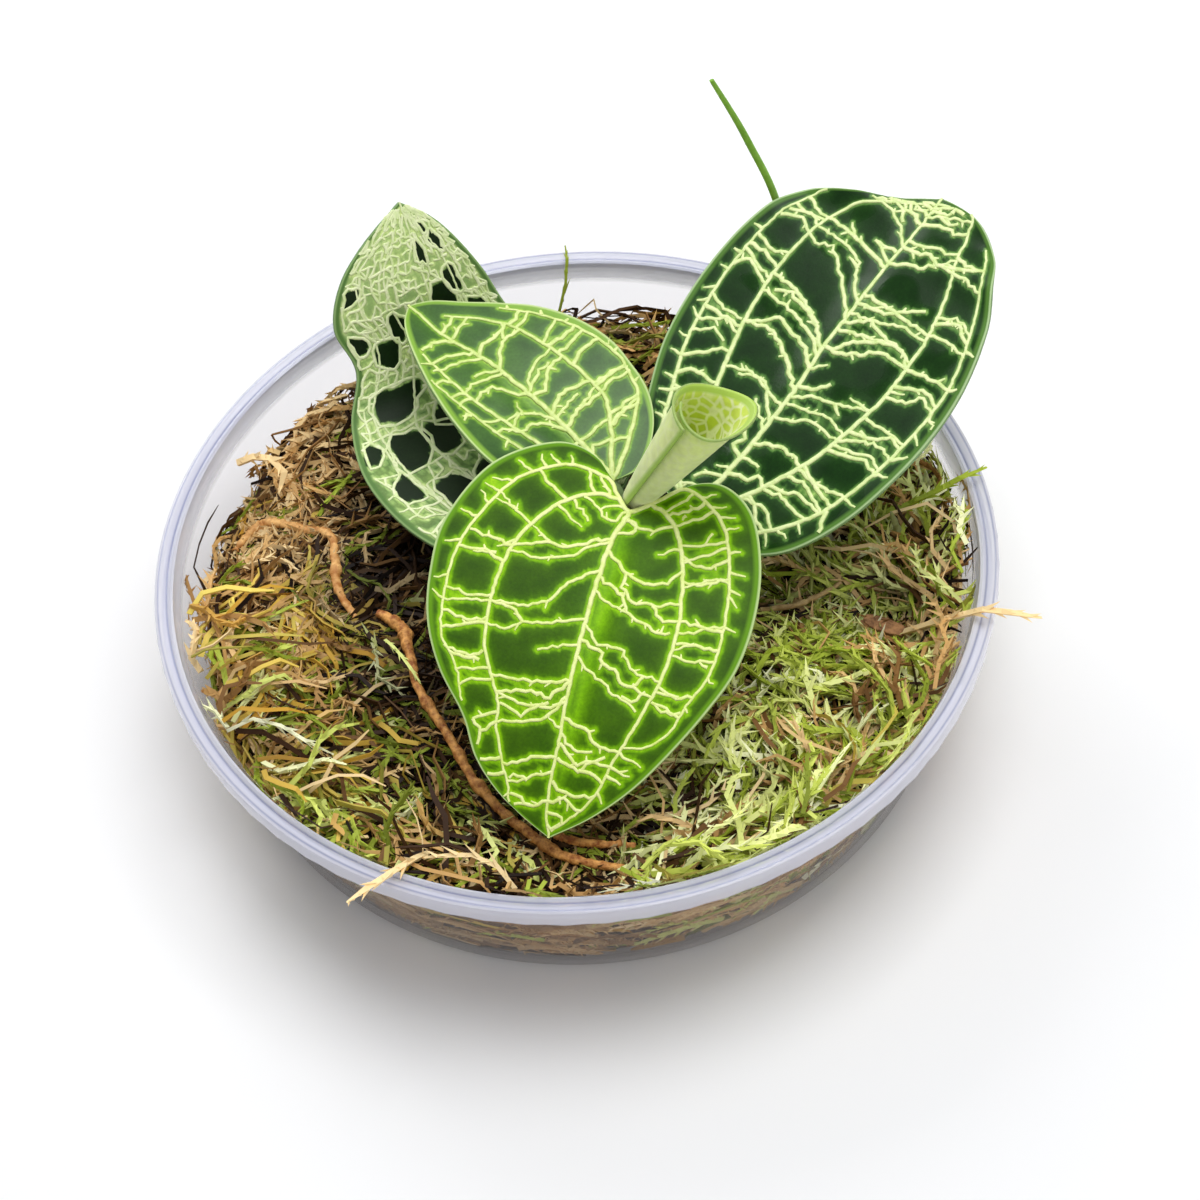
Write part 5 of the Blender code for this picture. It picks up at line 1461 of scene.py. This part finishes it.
def scroll_places(share, turn, flare):
    """Places on the rolled sheet, by share of its height and by turns from its inner edge."""
    axis = ROLL_MOUTH - ROLL_BASE
    length = np.linalg.norm(axis)
    axis = axis / length
    outward = np.cross(axis, (0.0, 0.0, 1.0))
    outward = outward / np.linalg.norm(outward)
    upward = np.cross(outward, axis)
    angle = 2 * math.pi * (ROLL_TURNS - turn) + EDGE_ANGLE
    girth = (1.2 + 2.45 * share ** 0.85 + turn * (0.55 + 0.5 * share) + flare)[:, None]
    height = length * share * (0.96 + 0.2 * (0.5 + 0.5 * np.cos(angle - TIP_ANGLE)) ** 3)
    spoke = outward * np.cos(angle)[:, None] + upward * np.sin(angle)[:, None]
    return ROLL_BASE + axis * height[:, None] + girth * spoke


def scroll_skin(name, body_colours, border, net_colour, net_share, border_start):
    """Skin of the rolled leaf: faint lengthwise streaks or a pale net, and a border along its mouth."""
    material, tree, shader = new_material(name)
    # Colours up the roll's height; inside, these hold painted shade deep down
    skin = ramp_of(tree, read_attribute(tree, "height"), body_colours)
    place = tree.nodes.new("ShaderNodeTexCoord")
    net = tree.nodes.new("ShaderNodeTexVoronoi")
    net.feature = "DISTANCE_TO_EDGE"
    net.inputs["Scale"].default_value = 620
    tree.links.new(place.outputs["Object"], net.inputs["Vector"])
    line = ramp_of(tree, net.outputs["Distance"], ((0.05, 1), (0.16, 0)))
    skin = blend_colours(tree, reckon(tree, "MULTIPLY", line, net_share), skin, screen(*net_colour))
    streak = noise_over(tree, 700, 2.0)
    tone = ramp_of(tree, streak, ((0.3, (0.9, 0.9, 0.88, 1)), (0.7, 1.06)))
    skin = blend_colours(tree, 1.0, skin, tone, "MULTIPLY")
    rim = ramp_of(tree, read_attribute(tree, "border"), ((border_start, 0), (border_start + 0.15, 1)))
    tree.links.new(blend_colours(tree, rim, skin, screen(*border)), shader.inputs["Base Color"])
    shader.inputs["Roughness"].default_value = 0.42
    shader.inputs["Sheen Weight"].default_value = 0.25
    bump(tree, streak, shader, 0.04)
    return material


bpy.ops.object.select_all(action="DESELECT")
bpy.ops.mesh.primitive_grid_add(x_subdivisions=60, y_subdivisions=150, size=2)
roll = bpy.context.object
roll.name = "rolled_leaf"
roll_grid = vertex_places(roll, 1.0)
roll_share = (roll_grid[:, 0] + 1) / 2
roll_turn = (roll_grid[:, 1] + 1) / 2 * ROLL_TURNS
add_attribute(roll, "height", roll_share)
side_gap = (ROLL_TURNS - roll_turn) * 2 * math.pi * (1.0 + 3.4 * roll_share)
border_gap = np.minimum((1 - roll_share) * 20, side_gap)
add_attribute(roll, "border", np.clip(1 - border_gap / ROLL_BORDER, 0, 1))
mouth_flare = MOUTH_FLARE * np.clip((roll_share - 0.9) / 0.1, 0, 1) ** 2
move_vertices(roll, scroll_places(roll_share, roll_turn, mouth_flare))
bpy.ops.object.mode_set(mode="EDIT")
bpy.ops.mesh.select_all(action="SELECT")
bpy.ops.mesh.normals_make_consistent(inside=False)
bpy.ops.object.mode_set(mode="OBJECT")
roll_axis = Vector((ROLL_MOUTH - ROLL_BASE) * MM)
roll_foot = Vector(ROLL_BASE * MM)
outwards = 0
for face in roll.data.polygons:
    arm = face.center - roll_foot
    outwards += face.normal.dot(arm - arm.project(roll_axis))
if outwards < 0:
    roll.data.flip_normals()
roll_skin = scroll_skin("rolled_leaf_outside", ROLL_OUTSIDE, (170, 204, 84), (240, 244, 206), 0.25, 0.75)
roll.data.materials.append(roll_skin)
roll.data.materials.append(
    scroll_skin("rolled_leaf_inside", ROLL_INSIDE_AND_PAINTED_SHADE, (178, 210, 84), (240, 246, 184), 0.95, 0.55))
roll.data.materials.append(under_skin("rolled_leaf_edge", (176, 204, 110)))
thicken(roll, ROLL_WALL)
foot_path = ROLL_BASE + np.linspace(-0.01, 0.12, 20)[:, None] * (ROLL_MOUTH - ROLL_BASE)
roll_tip = tube_through("roll_foot", foot_path, spread_radii((1.1, 1.5, 1.6), 20), 5)
roll_tip.data.materials.append(roll_skin)
join_to(roll, roll_tip)
stand_for(roll, "leaf_rolled", "new_leaf")


# The dead runners: a brown, knobbly old runner that crosses the moss under the front leaf, its thin side
# branch, and an orange dead root looped over the moss at the left.
RUNNER_LINE = ((-28.5, -2), (-24.9, -5), (-24, -9), (-22.8, -16), (-19, -25), (-15.3, -33), (-10.4, -39.8),
               (-4.8, -45.6), (2.8, -48.8))
RUNNER_RADII = (0.6, 0.95, 0.6, 0.65, 0.7, 0.7, 0.55)
RUNNER_KNOBS = (0.08, 0.17, 0.42, 0.55, 0.63, 0.83)
FORK_LINE = ((-5.6, -42.0), (-1, -43.8), (4.5, -45.2))
FORK_RADII = (0.6, 0.55, 0.4)
ORANGE_LINE = ((-49.3, 12.6), (-45, 17.5), (-39.5, 16), (-35.3, 13.6), (-34.4, 3.5), (-31.6, -2.6))
ORANGE_RADII = (0.45, 0.7, 0.6, 0.7, 0.5)
ORANGE_KNOBS = (0.18, 0.36, 0.55, 0.74)
KNOB_SWELL = 0.4
KNOB_REACH = 0.012
# Directions and pitches of the wrinkles in a dead skin
WRINKLES = np.array([[5.1, 1.3, 2.2], [1.9, 5.7, 1.1], [2.3, 1.7, 6.1]])


def lie_on_moss(line, lift, count):
    """A smooth line laid over the moss bed at a given height above it."""
    points = np.array(line, float)
    heights = moss_top(points[:, 0], points[:, 1]) + lift
    return curve_at(np.column_stack([points, heights]), np.linspace(0, 1, count))


def knobbly_tube(name, path, radii, seed, knobs, rough):
    """A tube with low knobs at some shares of its length and a wrinkled skin."""
    chance = np.random.default_rng(seed)
    share = np.linspace(0, 1, len(path))
    widths = spread_radii(radii, len(path))
    for knob in knobs:
        widths = widths * (1 + KNOB_SWELL * np.exp(-((share - knob) / KNOB_REACH) ** 2))
    widths = widths * (1 + rough * chance.normal(size=len(path)))
    wander = np.cumsum(chance.normal(0, 0.05, (len(path), 3)), axis=0)
    wander = wander - np.linspace(wander[0], wander[-1], len(path))
    tube = tube_through(name, path + 0.6 * wander, widths)
    places = vertex_places(tube)
    move_vertices(tube, places + rough * np.sin(places @ WRINKLES))
    return tube


dead_bark = grown_skin("dead_runner_bark", (150, 84, 34), (246, 178, 98), 900, 0.65, 0.3)
runner_path = lie_on_moss(RUNNER_LINE, 1.7, 150)
runner = knobbly_tube("old_runner", runner_path, RUNNER_RADII, 31, RUNNER_KNOBS, 0.06)
stand_for(runner, "brown_runner", "dead_bark", dead_bark)
fork = knobbly_tube("old_runner_fork", lie_on_moss(FORK_LINE, 1.3, 50), FORK_RADII, 32, (0.4, 0.8), 0.07)
stand_for(fork, "runner_fork", "dead_bark", dead_bark)
orange_skin = grown_skin("orange_root_skin", (176, 112, 50), (244, 190, 118), 620, 0.65, 0.3)
orange_path = lie_on_moss(ORANGE_LINE, 1.6, 120)
orange = knobbly_tube("dead_orange_root", orange_path, ORANGE_RADII, 33, ORANGE_KNOBS, 0.09)
stand_for(orange, "orange_root", "orange_root", orange_skin)


# The strays: moss sprigs that lean over the rim, a curled strand and a pale sprig on the moss, a thin green
# grass blade behind the right leaf, two pale shoots and two dry straws at the right, and a chip of bark.
# Each sprig has its name, CAD node, slot, shade, width and path
SPRIGS = (
    ("moss_sprig_over_rim", "rim_sprig", "tan_strand", 0.39, 1.4, ((44, -15.5, 19.9), (49, -17.6, 24.8),
     (53.5, -19.2, 28.3), (57, -20.3, 28.5), (61, -21, 27.8))),
    ("moss_sprig_at_front", "front_sprig", "tan_strand", 0.38, 1.3, ((-21, -42.5, 18.9),
     (-23.4, -47.3, 25), (-25.8, -51, 28.4), (-29, -53.2, 28.7), (-31.6, -54.6, 28))),
    ("green_sprig_at_right", "green_sprig", "green_strand", 0.72, 1.3, ((42.4, 5.6, 19.4),
     (48.5, 3.6, 24.4), (53, 3.4, 28), (58.3, 5, 28.8))),
    ("moss_strand_at_back", "back_strand", "green_strand", 0.66, 0.7, ((-2, 46, 18.4), (0.6, 49.6, 21),
     (2.3, 52.6, 25.4), (2.8, 55.5, 27.7), (2.7, 58.4, 27.7))),
    ("curled_moss_strand", "moss_bed", "moss", 0.36, 1.7, ((-48.2, 24.6, 22.4), (-45.8, 25.0, 23.0),
     (-43.4, 24.6, 22.8), (-41.4, 22.8, 21.6), (-42.4, 20.6, 19.4))),
    ("pale_sprig_on_runner", "moss_bed", "moss", 0.86, 0.7, ((-27.4, -7.6, 18.8), (-26.2, -9.6, 19.7),
     (-25.0, -11.6, 20.0), (-23.8, -13.7, 19.8), (-22.6, -15.8, 19.0))),
)
SPRIG_TURN = 0.5
GRASS_PATH = ((36, 36.5, 19.2), (35.6, 40, 27), (34.2, 45, 43), (29.5, 44.6, 57.5), (24.4, 41.2, 71.4))
GRASS_RADII = (0.6, 0.6, 0.6, 0.55, 0.35)
GRASS_PRESS = 0.55 * np.array((0.1, 1.0, 0.3))
# Foot, tip and height of the tip of each pale shoot
SHOOTS = (((51.2, 8.8), (50.4, 7.8), 26.0), ((46.2, 1.4), (44.6, 1.8), 25.0))
SHOOT_RADII = (0.55, 0.6, 0.5, 0.45, 0.12)
# Line and height over the moss of each straw
STRAWS = (
    (((23.8, -5.2), (30.5, -8), (37.3, -11.2)), 0.9),
    (((25, -9), (31, -8.4), (36.6, -6)), 2.3),
)
STRAW_RADII = (0.4, 0.4, 0.3)
CHIP_SIZE = (6.0, 2.4, 1.1)
CHIP_PLACE = (41.5, -13.5)
CHIP_LIFT = 0.8
CHIP_TURN = math.radians(-28)
CHIP_TILT = math.radians(4)

for name, node, slot, shade, width, points in SPRIGS:
    sprig_path = curve_at(points, np.linspace(0, 1, PATH_STEPS))[None]
    sprig = (feathery, sprig_path, np.array([width]), np.array([SPRIG_TURN]), np.array([shade]))
    # Sprigs get only a little painted shade, held to a floor
    lay_shoots(name, node, slot, (sprig,), inside=False, painted_light_floor=0.6)

grass_path = curve_at(GRASS_PATH, np.linspace(0, 1, 70))
grass = tube_through("grass_blade_green", grass_path, spread_radii(GRASS_RADII, 70), 4)
grass_places = vertex_places(grass)
grass_gap = np.linalg.norm(grass_places[:, None] - grass_path[None], axis=2)
grass_offset = grass_places - grass_path[grass_gap.argmin(axis=1)]
move_vertices(grass, grass_places - grass_offset * GRASS_PRESS)
grass_skin = grown_skin("grass_skin", (116, 170, 50), (150, 200, 76), 260, 0.5, 0.03)
stand_for(grass, "grass_blade", "grass", grass_skin)

shoot_skin = grown_skin("pale_shoot_skin", (150, 156, 96), (208, 214, 168), 420, 0.5, 0.06)
shoot_ripple = 0.08 * np.sin(np.linspace(0, 22, 40))
for number, (shoot_foot, shoot_tip, tip_height) in enumerate(SHOOTS, start=1):
    ground = float(moss_top(*shoot_foot)) + 0.9
    ends = np.array([(*shoot_foot, ground), (*shoot_tip, tip_height)])
    shoot_path = ends[0] + np.linspace(0, 1, 40)[:, None] * (ends[1] - ends[0])
    shoot_widths = spread_radii(SHOOT_RADII, 40) * (1 + shoot_ripple)
    pale_shoot = tube_through(f"young_shoot_{number}", shoot_path, shoot_widths, 4)
    stand_for(pale_shoot, f"pale_shoot_{number}", "pale_shoot", shoot_skin)

straw_skin = grown_skin("straw_skin", (150, 118, 70), (204, 174, 120), 900, 0.6, 0.1)
for number, (line, lift) in enumerate(STRAWS, start=1):
    straw_path = lie_on_moss(line, lift, 50)
    straw = knobbly_tube(f"dry_straw_{number}", straw_path, STRAW_RADII, 40 + number, (0.5,), 0.04)
    stand_for(straw, f"straw_{number}", "tan_strand", straw_skin)

bpy.ops.object.select_all(action="DESELECT")
bpy.ops.mesh.primitive_cube_add(size=2)
chip = bpy.context.object
chip.name = "chip_of_bark"
bpy.ops.object.mode_set(mode="EDIT")
bpy.ops.mesh.select_all(action="SELECT")
bpy.ops.mesh.subdivide(number_cuts=9)
bpy.ops.object.mode_set(mode="OBJECT")
chip_places = vertex_places(chip, 1.0)
chip_round = chip_places / np.linalg.norm(chip_places ** 4, axis=1, keepdims=True) ** 0.25
chip_round[:, 1] *= 1 - 0.35 * np.abs(chip_round[:, 0]) ** 2
chip_x, chip_y, chip_z = (chip_round[:, axis:axis + 1] for axis in range(3))
chip_round = chip_round * (1 + 0.1 * np.sin(9 * chip_x + 5 * chip_y) * np.sin(7 * chip_z))
chip_turned = Matrix.Rotation(CHIP_TURN, 3, "Z") @ Matrix.Rotation(CHIP_TILT, 3, "Y")
chip_middle = (*CHIP_PLACE, float(moss_top(*CHIP_PLACE)) + CHIP_SIZE[2] / 2 + CHIP_LIFT)
move_vertices(chip, (chip_round * np.array(CHIP_SIZE) / 2) @ np.array(chip_turned).T + np.array(chip_middle))
bpy.ops.object.shade_smooth()
chip_bark = grown_skin("chip_bark", (98, 66, 40), (176, 128, 84), 900, 0.8, 0.35)
stand_for(chip, "bark_chip", "dead_bark", chip_bark)
